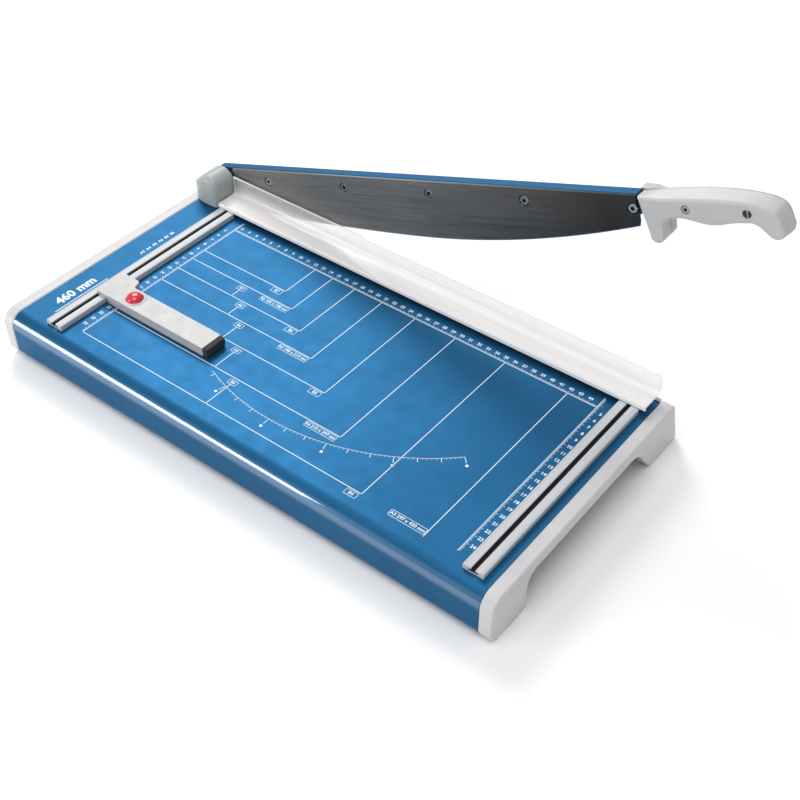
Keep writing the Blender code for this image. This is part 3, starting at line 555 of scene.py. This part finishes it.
class Print:
    """Ink strokes and characters gathered in one mesh, in the table's frame."""

    def __init__(self):
        self.bm = bmesh.new()

    def patch(self, corners):
        """A thin closed film of ink with this outline."""
        low = [self.bm.verts.new((x, y, INK_LOW)) for x, y in corners]
        high = [self.bm.verts.new((x, y, INK_HIGH)) for x, y in corners]
        self.bm.faces.new(high)
        self.bm.faces.new(low[::-1])
        for i in range(len(low)):
            j = (i + 1) % len(low)
            self.bm.faces.new((low[i], low[j], high[j], high[i]))

    def line(self, first, second, width=LINE):
        along = (Vector(second) - Vector(first)).normalized() * width / 2
        side = Vector((-along.y, along.x))
        a, b = Vector(first) - along, Vector(second) + along
        self.patch([a - side, b - side, b + side, a + side])

    def frame(self, x, y, width=0.5):
        for first, second in (((0, 0), (1, 0)), ((1, 0), (1, 1)), ((1, 1), (0, 1)), ((0, 1), (0, 0))):
            self.line((x[first[0]], y[first[1]]), (x[second[0]], y[second[1]]), width)

    def dot(self, centre, radius, count=14):
        self.patch(arc(centre, radius, 0, 360 * (count - 1) / count, count - 1))

    def text(self, words, centre, height, turn=0.0, weight=0.0):
        curve = bpy.data.curves.new("words", "FONT")
        curve.body = words
        curve.size = height * 1.36
        curve.align_x = "CENTER"
        curve.align_y = "CENTER"
        curve.resolution_u = 2
        curve.offset = weight
        curve.extrude = (INK_HIGH - INK_LOW) / 2
        holder = bpy.data.objects.new("words", curve)
        bpy.context.scene.collection.objects.link(holder)
        graph = bpy.context.evaluated_depsgraph_get()
        mesh = bpy.data.meshes.new_from_object(holder.evaluated_get(graph))
        move = Matrix.Translation((centre[0], centre[1], (INK_LOW + INK_HIGH) / 2))
        mesh.transform(move @ Matrix.Rotation(radians(turn), 4, "Z"))
        self.bm.from_mesh(mesh)
        bpy.data.objects.remove(holder)
        bpy.data.curves.remove(curve)
        bpy.data.meshes.remove(mesh)


def print_rulers(ink_mesh):
    """Millimetre rulers behind, left and right of the grid, with a number at each centimetre."""
    rear, left, right = RULER_REAR, RULER_LEFT, RULER_RIGHT
    ink_mesh.line((left, rear), (right, rear))
    ink_mesh.line((left, GUARD_FRONT - 1), (left, PRINT_FRONT))
    ink_mesh.line((right, GUARD_FRONT - 1), (right, PRINT_FRONT))
    for x in range(16, 450):
        long = 3.4 if x % 10 == 0 else 2.6 if x % 5 == 0 else 1.7
        ink_mesh.line((x, rear), (x, rear + long), FINE_LINE)
    for x in range(20, 450, 10):
        ink_mesh.text(str(x // 10), (x, rear + 6.6), 3.6, weight=0.12)
    for y in range(-31, int(PRINT_FRONT), -1):
        long = 3.4 if y % 10 == 0 else 2.6 if y % 5 == 0 else 1.7
        ink_mesh.line((left, y), (left - long, y), FINE_LINE)
        ink_mesh.line((right, y), (right + long, y), FINE_LINE)
    for y in range(-50, int(PRINT_FRONT) + 1, -10):
        ink_mesh.text(str(-y // 10), (left - 7.6, y), 3.6, weight=0.12)
        ink_mesh.text(str(-y // 10), (right + 7.6, y), 3.6, weight=0.12)


FORMATS = (                     # name, long side, short side
    ("B7", 125, 88), ("A6", 148, 105), ("B6", 176, 125), ("A5", 210, 148),
    ("B5", 250, 176), ("A4", 297, 210), ("B4", 353, 250),
)
LONG_LABELS = ("A6", "A5", "A4")


def print_formats(ink_mesh):
    """Each paper format's corner and label, laid with its long side along the cut, then small ones turned."""
    for name, long, short in FORMATS:
        ink_mesh.line((RULER_LEFT, -short), (long, -short))
        ink_mesh.line((long, RULER_REAR), (long, -short))
        words = "%s %d x %d mm" % (name, short, long) if name in LONG_LABELS else name
        wide = 34.0 if name in LONG_LABELS else 12.0
        low, high = long - wide - 1.5, long - 1.5
        ink_mesh.frame((low, high), (-short - 7.6, -short - 1.6), 0.45)
        ink_mesh.text(words, ((low + high) / 2, -short - 4.6), 3.5, weight=0.1)
    ink_mesh.line((420, RULER_REAR), (420, PRINT_FRONT - 5))
    ink_mesh.frame((383, 419), (PRINT_FRONT - 4, PRINT_FRONT + 2.6), 0.45)
    ink_mesh.text("A3 297 x 420 mm", (401, PRINT_FRONT - 0.7), 3.5, weight=0.1)
    for (name, long, x), (_, _, low) in zip(FORMATS[:5], FORMATS[1:]):
        ink_mesh.line((x, -low - 9), (x, -long))
        ink_mesh.frame((x - 4.6, x + 4.6), (-low - 8.6, -low - 2.6), 0.45)
        ink_mesh.text(name, (x, -low - 5.6), 3.3, weight=0.1)


def print_angle_scale(ink_mesh):
    """Degree marks on an arc about the end of the cut's middle."""
    centre, radius = (233.5, -2.7), 228.0
    first, last = 45, 111
    path = arc(centre, radius, -first, -last, 2 * (last - first))
    for a, b in zip(path, path[1:]):
        ink_mesh.line(a, b, 0.6)
    for angle in range(first, last + 1, 1):
        long = 7.0 if angle % 15 == 0 else 4.2 if angle % 5 == 0 else 1.6
        direction = Vector((cos(radians(-angle)), sin(radians(-angle))))
        begin = Vector(centre) + direction * radius
        ink_mesh.line(begin, begin + direction * long, 0.6 if angle % 5 == 0 else FINE_LINE)
        if angle % 15 == 0:
            ink_mesh.dot(begin + direction * 10.5, 1.5)


def print_margin(ink_mesh):
    """Generic marks in the margin left of the rail: the table's cutting length."""
    ink_mesh.text("460 mm", (-37, -212), 10.5, 90, weight=0.5)
    ink_mesh.line((-27.5, -180), (-27.5, -246), 0.9)
    ink_mesh.text("A3  A4  A5  A6  B4  B5", (-32, -108), 3.6, 90, weight=0.12)


def build_print():
    ink_mesh = Print()
    print_rulers(ink_mesh)
    print_formats(ink_mesh)
    print_angle_scale(ink_mesh)
    print_margin(ink_mesh)
    piece("table_print", ink_mesh.bm, "base", "blue_paint", INK, weighted=False)


# -------------------------------------------------------- pivot
PIVOT_X, PIVOT_Z = -42.0, 14.0
PIVOT_BORE = 5.3                # radius
BRACKET_X = (-65.0, -23.0)
BRACKET_FRONT, BRACKET_BACK, BRACKET_FOOT = -28.0, 20.0, 0.9
SLOT_BACK = 15.6


def bracket_plan():
    left, right = BRACKET_X
    outline = arc((left + 20, BRACKET_FRONT + 20), 20, 180, 270, 24)
    outline += arc((right - 8, BRACKET_FRONT + 8), 8, 270, 360, 12)
    return outline + [(right, BRACKET_BACK + 1), (left, BRACKET_BACK + 1)]


def bracket_trim():
    """What is cut away behind the front cheek: all above the side wall, but for a round lug."""
    left, right, top, step = PIVOT_X - 40, PIVOT_X + 40, PIVOT_Z + 40, PIVOT_Z - 4
    outline = [(left, top), (left, 15.0), (PIVOT_X - 10.5, 15.0)]
    outline += arc((PIVOT_X, PIVOT_Z), 10.5, 165, 15, 24)
    return outline + [(PIVOT_X + 10.5, step), (right, step), (right, top)]


def bracket_ring(y, inset):
    """The bracket from the front, drawn in by an inset all round but at its foot."""
    left, right = BRACKET_X
    outline = [(left + inset, BRACKET_FOOT), (right - inset, BRACKET_FOOT)]
    outline += arc((right - 15.6, 18.8), 15.6 - inset, 0, 132, 28)
    outline += arc((left + 9, 12), 9 - inset, 132, 180, 12)
    return [(x, y, z) for x, z in outline]


def build_bracket():
    """The clevis: a thick rounded cheek in front, a slot for the arm and a low cheek behind it."""
    left, right = BRACKET_X
    radius, steps = 7.0, 8
    turns = [pi / 2 * i / steps for i in range(steps + 1)]
    rings = [bracket_ring(BRACKET_FRONT + radius * (1 - sin(turn)), radius * (1 - cos(turn)))
             for turn in reversed(turns)]
    body = loft(rings + [bracket_ring(BRACKET_BACK, 0)])
    base = block((-54.7, right), (0.4, BRACKET_BACK), (-16, 4))
    slot = block((left + 5.8, right + 30), (0, SLOT_BACK), (-3, 60))
    trim = prism(bracket_trim(), "Y", 0, BRACKET_BACK + 5)
    bore = cylinder(PIVOT_BORE, "Y", (PIVOT_X, PIVOT_Z), -14, 30)
    body = shaped(body, common=[prism(bracket_plan(), "Z", -1, 60)], unions=[base], cuts=[slot, trim, bore],
                  voxel=0.55, smooth=5)
    piece("bracket", body, "base", "grey_plastic", BRACKET_PLASTIC, replaces=("pivot_bracket",), angle=180,
          weighted=False)


def socket_bolt(head_radius, head_low, head_high, socket_radius, depth, axis, across, chamfer=0.4):
    """A bolt head that rises along its axis, with a chamfered rim and a hexagon socket."""
    profile = [(0, head_high), (head_radius - chamfer, head_high), (head_radius, head_high - chamfer),
               (head_radius, head_low), (0, head_low)]
    head = lathe(profile, axis, across)
    hexagon = arc(across, socket_radius, 0, 300, 5)
    return shaped(head, cuts=[prism(hexagon, axis, head_high - depth, head_high + 1)])


def build_pivot():
    """The pivot bolt's head behind the rear cheek, its shank, and the washers."""
    place = (PIVOT_X, PIVOT_Z)
    head = BRACKET_BACK + 1.8
    bolt = join(socket_bolt(7.0, head, head + 5, 4.0, 3.0, "Y", place, 0.7),
                cylinder(5.0, "Y", place, -13, head - 0.05))
    piece("hinge_bolt", bolt, "base", "bright_steel", SCREW_STEEL, replaces=("pivot_bolt",))
    for name, node_name, outer, material in (("washer_rear", "bolt_washer", 10.0, ZINC_AND_SLOT_HIGHLIGHT),
                                             ("washer_front", "thrust_washer", 11.0, BRASS),
                                             ("washer_disc", "spring_washer", 9.0, ZINC_AND_SLOT_HIGHLIGHT)):
        low, high = span(node_name, "Y")
        profile = [(PIVOT_BORE, high), (outer - 0.2, high), (outer, high - 0.2), (outer, low + 0.2),
                   (outer - 0.2, low), (PIVOT_BORE, low), (PIVOT_BORE, high)]
        washer = lathe(profile, "Y", place)
        bmesh.ops.remove_doubles(washer, verts=washer.verts, dist=0.001)
        slot = "brass" if material is BRASS else "bright_steel"
        piece(name, washer, "base", slot, material, replaces=(node_name,))


# -------------------------------------------------------- arm and blade
ARM_FRONT, ARM_BACK = 3.6, 13.6
ARM_HALF_DEPTH, ARM_LENGTH = 15.6, 508.8
TANG_LOW, TANG_TOP, TANG_END = -1.0, 9.8, 622.0
BLADE_FRONT, BLADE_BACK = 0.3, 3.3
BLADE_START, BLADE_END = 22.0, 508.8
BELLY_X, BELLY_Z = 265.0, -43.0
BLADE_SCREWS = [(72.0 + 108.0 * i, 3.0) for i in range(5)]
SOCKET_RADIUS = 2.1
HANDLE_SCREWS = ((552.0, 5.5), (604.0, 5.5))


def build_arm():
    """The arm: a flat bar with softened edges, which tapers towards the grip and goes on as its tang."""
    deep = ARM_HALF_DEPTH
    outline = [(-3, deep)] + arc((0, 0), 12.6, 125, 235, 30) + [(-3, -deep), (60, -deep), (ARM_LENGTH, -4)]
    outline += [(ARM_LENGTH, TANG_LOW), (TANG_END, TANG_LOW), (TANG_END, TANG_TOP), (ARM_LENGTH, TANG_TOP)]
    outline += [(ARM_LENGTH, deep)]
    bar = prism(outline, "Y", ARM_FRONT, ARM_BACK)
    softened(bar, 1.0, 4, angle=50)
    cuts = [cylinder(PIVOT_BORE, "Y", (0, 0), -5, 20)]
    cuts += [cylinder(2.8, "Y", place, 0, 12.4, 24) for place in BLADE_SCREWS]
    cuts += [cylinder(2.2, "Y", place, 0, 20, 24) for place in HANDLE_SCREWS]
    piece("lever", shaped(bar, cuts=cuts), "blade_arm", "blue_paint", BLUE, place=ARM, replaces=("arm",))


def edge_height(x):
    """The cutting edge's z: two arcs that meet at the belly."""
    radius = 963.0 if x > BELLY_X else 2400.0
    return BELLY_Z + (x - BELLY_X) ** 2 / (2 * radius)


def build_blade():
    """The curved blade: flat front, ground bevel behind, a fine bright land along the edge."""
    top = ARM_HALF_DEPTH - 0.5
    stations = 120
    rings = []
    for i in range(stations + 1):
        x = BLADE_START + (BLADE_END - BLADE_START) * i / stations
        edge = edge_height(x)
        section = [(BLADE_FRONT, top - 0.3), (BLADE_FRONT + 0.3, top), (BLADE_BACK - 0.3, top),
                   (BLADE_BACK, top - 0.3), (BLADE_BACK, edge + 4.5), (BLADE_FRONT + 0.9, edge),
                   (BLADE_FRONT + 0.5, edge), (BLADE_FRONT, edge + 1.1)]
        rings.append([(x, y, z) for y, z in section])
    blade = loft(rings)
    for face in blade.faces:
        low = min(vert.co.z - edge_height(vert.co.x) for vert in face.verts)
        high = max(vert.co.z - edge_height(vert.co.x) for vert in face.verts)
        face.material_index = 1 if low < 0.1 and high < 5 else 0
    hole = [(0, 6), (4.9, 6), (4.9, BLADE_FRONT + 0.5), (5.6, BLADE_FRONT - 0.2), (0, BLADE_FRONT - 0.2)]
    holes = [lathe(hole, "Y", place, 36) for place in BLADE_SCREWS]
    blade = shaped(blade, cuts=holes)
    piece("cutting_blade", blade, "blade_arm", "blade_steel", BLADE_STEEL, EDGE_STEEL, place=ARM,
          replaces=("blade",))
    for i, place in enumerate(BLADE_SCREWS):
        profile = [(0, 1.1), (3.9, 1.1), (4.4, 1.6), (4.4, 3.2), (2.5, 3.2), (2.5, 11.8), (0, 11.8)]
        screw = lathe(profile, "Y", place, 36)
        screw = shaped(screw, cuts=[prism(arc(place, SOCKET_RADIUS, 15, 315, 5), "Y", 0, 2.7)])
        # the socket's walls and floor are painted black, a painted shade in the socket
        for face in screw.faces:
            spot = face.calc_center_median()
            across = (Vector((spot.x, spot.z)) - Vector(place)).length
            face.material_index = 1 if 1.2 < spot.y < 3.0 and across < SOCKET_RADIUS + 0.05 else 0
        piece("blade_bolt_%d" % (i + 1), screw, "blade_arm", "bright_steel", SCREW_STEEL, DARK_STEEL_AND_RECESS_SHADE,
              place=ARM, replaces=("blade_screw_%d" % (i + 1),))


# -------------------------------------------------------- handle
HANDLE_FRONT, HANDLE_SPLIT, HANDLE_BACK = 0.6, 14.05, 24.6
HANDLE_START = 509.5
GRIP_ROUND, SEAM_ROUND, SEAM_GAP = 1.9, 0.7, 0.3
FRONT_FALL, REAR_FALL = 5.8, 8.0    # how far the grip's back slopes down from the seam to each face
REAR_LEAD = 1.6                     # how much higher the rear shell starts than the front one


def grip_back(begin, lead):
    """The grip's back along the seam, hook end first: x, z and the share of the slope each point takes."""
    back = [(x, z, 0.75 * (i / 20) ** 2) for i, (x, z) in enumerate(arc((626.8, -6.5), 9, 220, 360, 20))]
    path = [(635.2, 0, 0.85), (634.2, 5, 1), (632.2, 9.8, 1), (628.5, 13.4, 1), (623, 15.9, 1),
            (616, 17.6, 1), (607, 18.9, 0.95), (597, 19.8, 0.95), (585, 20.4, 1), (572, 20.4, 1),
            (559, 19.7, 0.95), (547, 18.6, 0.85), (536, 17.4, 0.75), (527, 16.3, 0.6),
            (519, 15.2 + lead, 0.3), (513, 14.4 + lead, 0.1), (begin, 14.0 + lead, 0)]
    for before, first, second, after in zip([back[-1]] + path, path, path[1:], path[2:] + [path[-1]]):
        for part in (0, 1 / 3, 2 / 3):
            back.append(tuple(curved(part, *values) for values in zip(before, first, second, after)))
    return back + [path[-1]]


def curved(part, before, first, second, after):
    """A smooth curve through first and second, between which part runs from 0 to 1."""
    rise, bend = (second - before) / 2, before - 2.5 * first + 2 * second - 0.5 * after
    twist = (after - before) / 2 + 1.5 * (first - second)
    return first + part * (rise + part * (bend + part * twist))


def grip_outline(begin, lead):
    """The grip from the front: for each point its place, how it sinks with the back's slope, its rounding."""
    under = [(516, -17)] + arc((522.2, -20.6), 6.4, 195, 345, 18) + arc((536.2, -11), 7, 180, 90, 8)
    under += [(545 + 2.5 * i, -3.1 - 3.8 * sin(pi * i / 22) ** 2) for i in range(23)]
    under += [(607, -2.6), (611, -4.2), (615, -7.4)]
    back = grip_back(begin, lead)
    sinks = [Vector((0, 0))] * len(under)
    for before, (x, z, slope), after in zip([back[0]] + back, back, back[1:] + [back[-1]]):
        along = Vector((after[0] - before[0], after[1] - before[1])).normalized()
        sinks.append(Vector((-along.y, along.x)) * slope)
    rounds = [0.3] + [1.0] * (len(sinks) - 2) + [0.3]
    return under + [(x, z) for x, z, slope in back], sinks, rounds


def inset(outline, amounts):
    """An outline with each point moved inwards, square to its neighbours."""
    count = len(outline)
    area = sum(outline[i - 1][0] * outline[i][1] - outline[i][0] * outline[i - 1][1] for i in range(count))
    moved = []
    for i, ((x, y), amount) in enumerate(zip(outline, amounts)):
        before, after = outline[i - 1], outline[(i + 1) % count]
        along = Vector((after[0] - before[0], after[1] - before[1])).normalized()
        inward = Vector((-along.y, along.x)) * (1 if area > 0 else -1)
        moved.append((x + inward.x * amount, y + inward.y * amount))
    return moved


def handle_plan():
    left, right = 500, 636.2
    outline = [(left, HANDLE_FRONT), (right - 9, HANDLE_FRONT)]
    outline += arc((right - 9, HANDLE_FRONT + 9), 9, 270, 360, 14)[1:]
    outline += arc((right - 9, HANDLE_BACK - 9), 9, 0, 90, 14)
    return outline + [(left, HANDLE_BACK)]


def grip_shell(begin, seam, face, fall, lead):
    """One half of the grip: its back slopes down from the seam to the face, and its edges are round."""
    outline, sinks, rounds = grip_outline(begin, lead)
    away = 1 if face > seam else -1
    rings = []
    for y, rounding in ([(seam, SEAM_ROUND), (seam + away * SEAM_ROUND, 0)]
                        + [(face - away * GRIP_ROUND * (1 - sin(turn)), GRIP_ROUND * (1 - cos(turn)))
                           for turn in (pi / 2 * i / 6 for i in range(7))]):
        share = fall * abs(y - seam) / abs(face - seam)
        sunk = [(x + sink.x * share, z + sink.y * share) for (x, z), sink in zip(outline, sinks)]
        rings.append([(x, y, z) for x, z in inset(sunk, [rounding * part for part in rounds])])
    solid = shaped(loft(rings), voxel=0.5)
    return shaped(solid, common=[prism(handle_plan(), "Z", -50, 50)], voxel=0.5, smooth=3)


def build_handle():
    """The two grip shells, which close over the tang, and their two screws."""
    deep = (ARM_FRONT - 0.3, HANDLE_SPLIT + 1)
    tang = (TANG_LOW - 0.3, TANG_TOP + 0.3)
    front = grip_shell(HANDLE_START, HANDLE_SPLIT - SEAM_GAP / 2, HANDLE_FRONT, FRONT_FALL, 0)
    cuts = [block((ARM_LENGTH - 2, TANG_END + 0.3), deep, tang)]
    for place in HANDLE_SCREWS:
        cuts += [cylinder(2.1, "Y", place, 2.0, 20, 24), cylinder(3.8, "Y", place, -3, 2.4, 32)]
    front = shaped(front, cuts=cuts)
    piece("grip_front", front, "blade_arm", "light_plastic", HANDLE_PLASTIC, place=ARM,
          replaces=("handle_front",), angle=50, weighted=False)
    rear = grip_shell(HANDLE_START - 4, HANDLE_SPLIT + SEAM_GAP / 2, HANDLE_BACK, REAR_FALL, REAR_LEAD)
    rear = shaped(rear, cuts=[cylinder(2.1, "Y", place, 5, 20.5, 24) for place in HANDLE_SCREWS])
    piece("grip_rear", rear, "blade_arm", "light_plastic", HANDLE_PLASTIC, place=ARM,
          replaces=("handle_rear",), angle=50, weighted=False)
    for i, (x, z) in enumerate(HANDLE_SCREWS):
        profile = [(0, 0.9), (3.0, 0.9), (3.4, 1.3), (3.4, 2.1), (1.8, 2.1), (1.8, 20), (0, 20)]
        screw = lathe(profile, "Y", (x, z), 36)
        if i == 0:      # near the arm: steel with a small hole painted dark, a painted shade. The other is dark with a slot painted bright, a painted highlight.
            screw = shaped(screw, cuts=[cylinder(1.5, "Y", (x, z), 0, 2.0, 24)])
            head, painted_recess = SCREW_STEEL, DARK_STEEL_AND_RECESS_SHADE
        else:
            screw = shaped(screw, cuts=[block((x - 0.6, x + 0.6), (0, 1.5), (z - 5, z + 5))])
            head, painted_recess = DARK_STEEL_AND_RECESS_SHADE, ZINC_AND_SLOT_HIGHLIGHT
        # the inside of the hole or slot gets the recess colour: painted shade in the hole, painted highlight
        # in the slot
        for face in screw.faces:
            spot = face.calc_center_median()
            face.material_index = 1 if 1.0 < spot.y < 2.05 and abs(spot.x - x) < 1.6 else 0
        piece("grip_screw_%d" % (i + 1), screw, "blade_arm", "bright_steel", head, painted_recess, place=ARM,
              replaces=("handle_screw_%d" % (i + 1),))


# -------------------------------------------------------- guard and clamp
GUARD_TOP, GUARD_SHEET, GUARD_BACK = 29.5, 2.0, -2.0
FLANGE_Z = 8.2


def guard_outline():
    """Section of the guard: upright, rounded foot, flange and a small front lip."""
    sheet = GUARD_SHEET
    bend = (GUARD_BACK - 6, FLANGE_Z + 6)
    outline = [(GUARD_BACK, GUARD_TOP)] + arc(bend, 6, 360, 270, 14)
    outline += [(GUARD_FRONT + sheet, FLANGE_Z), (GUARD_FRONT + sheet, 5.3), (GUARD_FRONT, 5.3)]
    outline += arc((GUARD_FRONT + 1.5, FLANGE_Z + sheet - 1.5), 1.5, 180, 90, 6)
    return outline + arc(bend, 6 - sheet, 270, 360, 12) + [(GUARD_BACK - sheet, GUARD_TOP)]


def build_guard():
    """The clear guard, whose cut edges are painted brighter and more opaque, a painted highlight."""
    low, high = span("guard", "X")
    guard = prism(guard_outline(), "X", low, high)
    softened(guard, 8.0, 10, lambda co: co.x > high - 0.01 and co.z > GUARD_TOP - 0.01)
    softened(guard, 0.35, 2, angle=60)
    # cut edges and end faces get the brighter edge material: a painted highlight
    for face in guard.faces:
        centre = face.calc_center_median()
        rim = centre.z > GUARD_TOP - 0.5 or centre.y < GUARD_FRONT + 0.5
        face.material_index = 1 if rim or abs(face.normal.x) > 0.9 else 0
    piece("clear_guard", guard, "clamp", "clear_plastic", ACRYLIC, ACRYLIC_EDGE_HIGHLIGHT, replaces=("guard",))


def build_clamp():
    """The pressing bar and its rubber strip under the guard's flange."""
    bar = block(span("clamp_bar", "X"), span("clamp_bar", "Y"), span("clamp_bar", "Z"))
    softened(bar, 0.5, 3)
    piece("press_bar", bar, "clamp", "aluminium", BAR_ALUMINIUM, replaces=("clamp_bar",))
    pad = block(span("clamp_pad", "X"), span("clamp_pad", "Y"), span("clamp_pad", "Z"))
    softened(pad, 0.3, 2)
    piece("press_strip", pad, "clamp", "rubber", RUBBER, replaces=("clamp_pad",))


# -------------------------------------------------------- backstop
STOP_X = (-13.0, 130.0)
STOP_FRONT, STOP_BACK, STOP_HEAD_BACK = -206.5, -182.0, -172.0
STOP_TOP, RAIL_TOP = 10.0, 5.5
BUTTON = (28.0, -193.5)
BUTTON_RADIUS = 8.5


def stop_head(low, high):
    outline = arc((low + 3, STOP_FRONT + 3), 3, 180, 270, 6) + [(high, STOP_FRONT), (high, STOP_BACK)]
    outline += arc((18, STOP_BACK + 5), 5, 270, 225, 5)
    outline += arc((8.4, STOP_HEAD_BACK - 5.4), 5.4, 25, 90, 7)
    return outline + arc((low + 4, STOP_HEAD_BACK - 4), 4, 90, 180, 6)


def build_backstop():
    """The paper stop: a moulded arm over the left rail with a collar round its release button."""
    low, high = STOP_X
    beside = 0.6        # just right of the left rail, whose right side is at x = 0
    top = prism(stop_head(low, high), "Z", RAIL_TOP + 0.3, STOP_TOP)
    under = prism([(max(x, beside), y) for x, y in stop_head(beside, high)], "Z", 0.6, RAIL_TOP + 2)
    collar = lathe([(0, STOP_TOP + 0.5), (10.6, STOP_TOP + 0.5), (11.0, STOP_TOP + 0.1), (11.0, 6), (0, 6)],
                   "Z", BUTTON)
    pocket = cylinder(BUTTON_RADIUS + 0.3, "Z", BUTTON, 2.0, 14)
    stop = shaped(top, unions=[under, collar], cuts=[pocket])
    bmesh.ops.dissolve_limit(stop, angle_limit=radians(0.5), verts=stop.verts, edges=stop.edges)
    softened(stop, 1.0, 4, lambda co: co.z > STOP_TOP - 0.01 and co.z < STOP_TOP + 0.01, angle=60)
    piece("stop_arm", stop, "backstop", "off_white_plastic", STOP_PLASTIC, replaces=("backstop_arm",))
    tip = block(span("backstop_tip", "X"), span("backstop_tip", "Y"), span("backstop_tip", "Z"))
    softened(tip, 1.2, 4)
    piece("stop_tip", tip, "backstop", "rubber", RUBBER, replaces=("backstop_tip",))


def build_button():
    """The domed lock button with a fine step at its foot."""
    top, shoulder, foot = span("lock_button", "Z")[1], STOP_TOP + 0.8, span("lock_button", "Z")[0]
    dome = [((BUTTON_RADIUS - 0.5) * sin(radians(angle)), shoulder + (top - shoulder) * cos(radians(angle)))
            for angle in range(0, 91, 5)]
    dome[0] = (0, top)
    profile = dome + [(BUTTON_RADIUS - 0.1, shoulder - 0.2), (BUTTON_RADIUS, shoulder - 0.5),
                      (BUTTON_RADIUS, foot), (0, foot)]
    piece("release_button", lathe(profile, "Z", BUTTON), "button", "red_plastic", RED_PLASTIC,
          replaces=("lock_button",), weighted=False)


# -------------------------------------------------------- carried-over nodes
def finish_cad_nodes():
    """Nodes whose CAD shape is already right: hidden gear and small fasteners."""
    carry_over(ZINC_AND_SLOT_HIGHLIGHT, "cross_rail_front", "cross_rail_rear", "rear_beam", "lift_bar", "backstop_slider")
    for i in range(1, 5):
        carry_over(SCREW_STEEL, "counter_screw_%d" % i, "rail_screw_%d" % i)
    carry_over(SCREW_STEEL, "bracket_screw_1", "bracket_screw_2", "button_spring")
    for side in ("left", "right"):
        carry_over(SCREW_STEEL, "guide_post_" + side, "clamp_spring_" + side, "post_nut_" + side)
        carry_over(BRASS, "guide_bushing_" + side)


# -------------------------------------------------------- stage
CAMERA_PLACE = (809.6, -779.4, 752.5)
CAMERA_AZIMUTH, CAMERA_ELEVATION, CAMERA_ROLL = 38.18, 42.86, -0.24
CAMERA_LENS = 56.53


def build_camera():
    azimuth, elevation, roll = radians(CAMERA_AZIMUTH), radians(CAMERA_ELEVATION), radians(CAMERA_ROLL)
    forward = Vector((-sin(azimuth) * cos(elevation), cos(azimuth) * cos(elevation), -sin(elevation)))
    right = Vector((cos(azimuth), sin(azimuth), 0))
    up = right.cross(forward)
    turned_right = right * cos(roll) + up * sin(roll)
    turned_up = up * cos(roll) - right * sin(roll)
    place = Matrix((turned_right, turned_up, -forward)).transposed().to_4x4()
    place.translation = TABLE_ORIGIN + Vector(CAMERA_PLACE) * MM
    lens = bpy.data.cameras.new("camera")
    lens.sensor_width = 36
    lens.lens = CAMERA_LENS
    lens.clip_start = 0.01
    camera = bpy.data.objects.new("camera", lens)
    camera.matrix_world = place
    bpy.context.scene.collection.objects.link(camera)
    bpy.context.scene.camera = camera


def softbox(name, target, azimuth, elevation, distance, size, power, colour=(1, 1, 1)):
    """An area light that faces a target. Azimuth 0 is in front of the table, 90 to its right."""
    a, e = radians(azimuth), radians(elevation)
    away = Vector((sin(a) * cos(e), -cos(a) * cos(e), sin(e)))
    light = bpy.data.lights.new(name, "AREA")
    light.shape = "RECTANGLE"
    light.size, light.size_y = size
    light.energy = power
    light.color = colour
    holder = bpy.data.objects.new(name, light)
    holder.location = TABLE_ORIGIN + Vector(target) * MM + away * distance
    holder.rotation_mode = "QUATERNION"
    holder.rotation_quaternion = away.to_track_quat("Z", "Y")
    bpy.context.scene.collection.objects.link(holder)


def build_lights():
    softbox("top", (220, -130, 0), 20, 74, 4.0, (3.0, 3.0), 80)
    softbox("rear_left", (220, -130, 0), 233, 44, 2.4, (1.0, 1.0), 30, (0.97, 0.985, 1.0))
    softbox("nose_strip", (100, -276, -6), -37, 9, 1.8, (0.9, 0.55), 14)
    world = bpy.data.worlds.new("studio")
    world.use_nodes = True
    world.node_tree.nodes["Background"].inputs["Color"].default_value = (1, 1, 1, 1)
    world.node_tree.nodes["Background"].inputs["Strength"].default_value = 0.42
    bpy.context.scene.world = world
    bpy.context.scene.view_settings.view_transform = "Standard"


def build_floor():
    half, floor_z = 6.0, min(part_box("foot_pad_left_front")[0].z, 0.0)
    bm = bmesh.new()
    bm.faces.new([bm.verts.new((x, y, floor_z)) for x, y in ((-half, -half), (half, -half), (half, half),
                                                            (-half, half))])
    mesh = bpy.data.meshes.new("floor")
    bm.to_mesh(mesh)
    bm.free()
    material, tree, shader, at = start("floor_paper", Roughness=0.75, Specular_IOR_Level=0.2)
    tone = mixed(tree, noise(tree, at, 3, 3), grey(0.96), grey(0.975))
    tree.links.new(tone, shader.inputs["Base Color"])
    relief(tree, shader, noise(tree, at, 900, 3), 0.05, 0.0002)
    mesh.materials.append(material)
    floor = bpy.data.objects.new("floor", mesh)
    bpy.context.scene.collection.objects.link(floor)


build_camera()
build_panel()
build_caps()
build_rails()
build_counter_blade()
build_print()
build_bracket()
build_pivot()
build_arm()
build_blade()
build_handle()
build_guard()
build_clamp()
build_backstop()
build_button()
finish_cad_nodes()
build_floor()
build_lights()
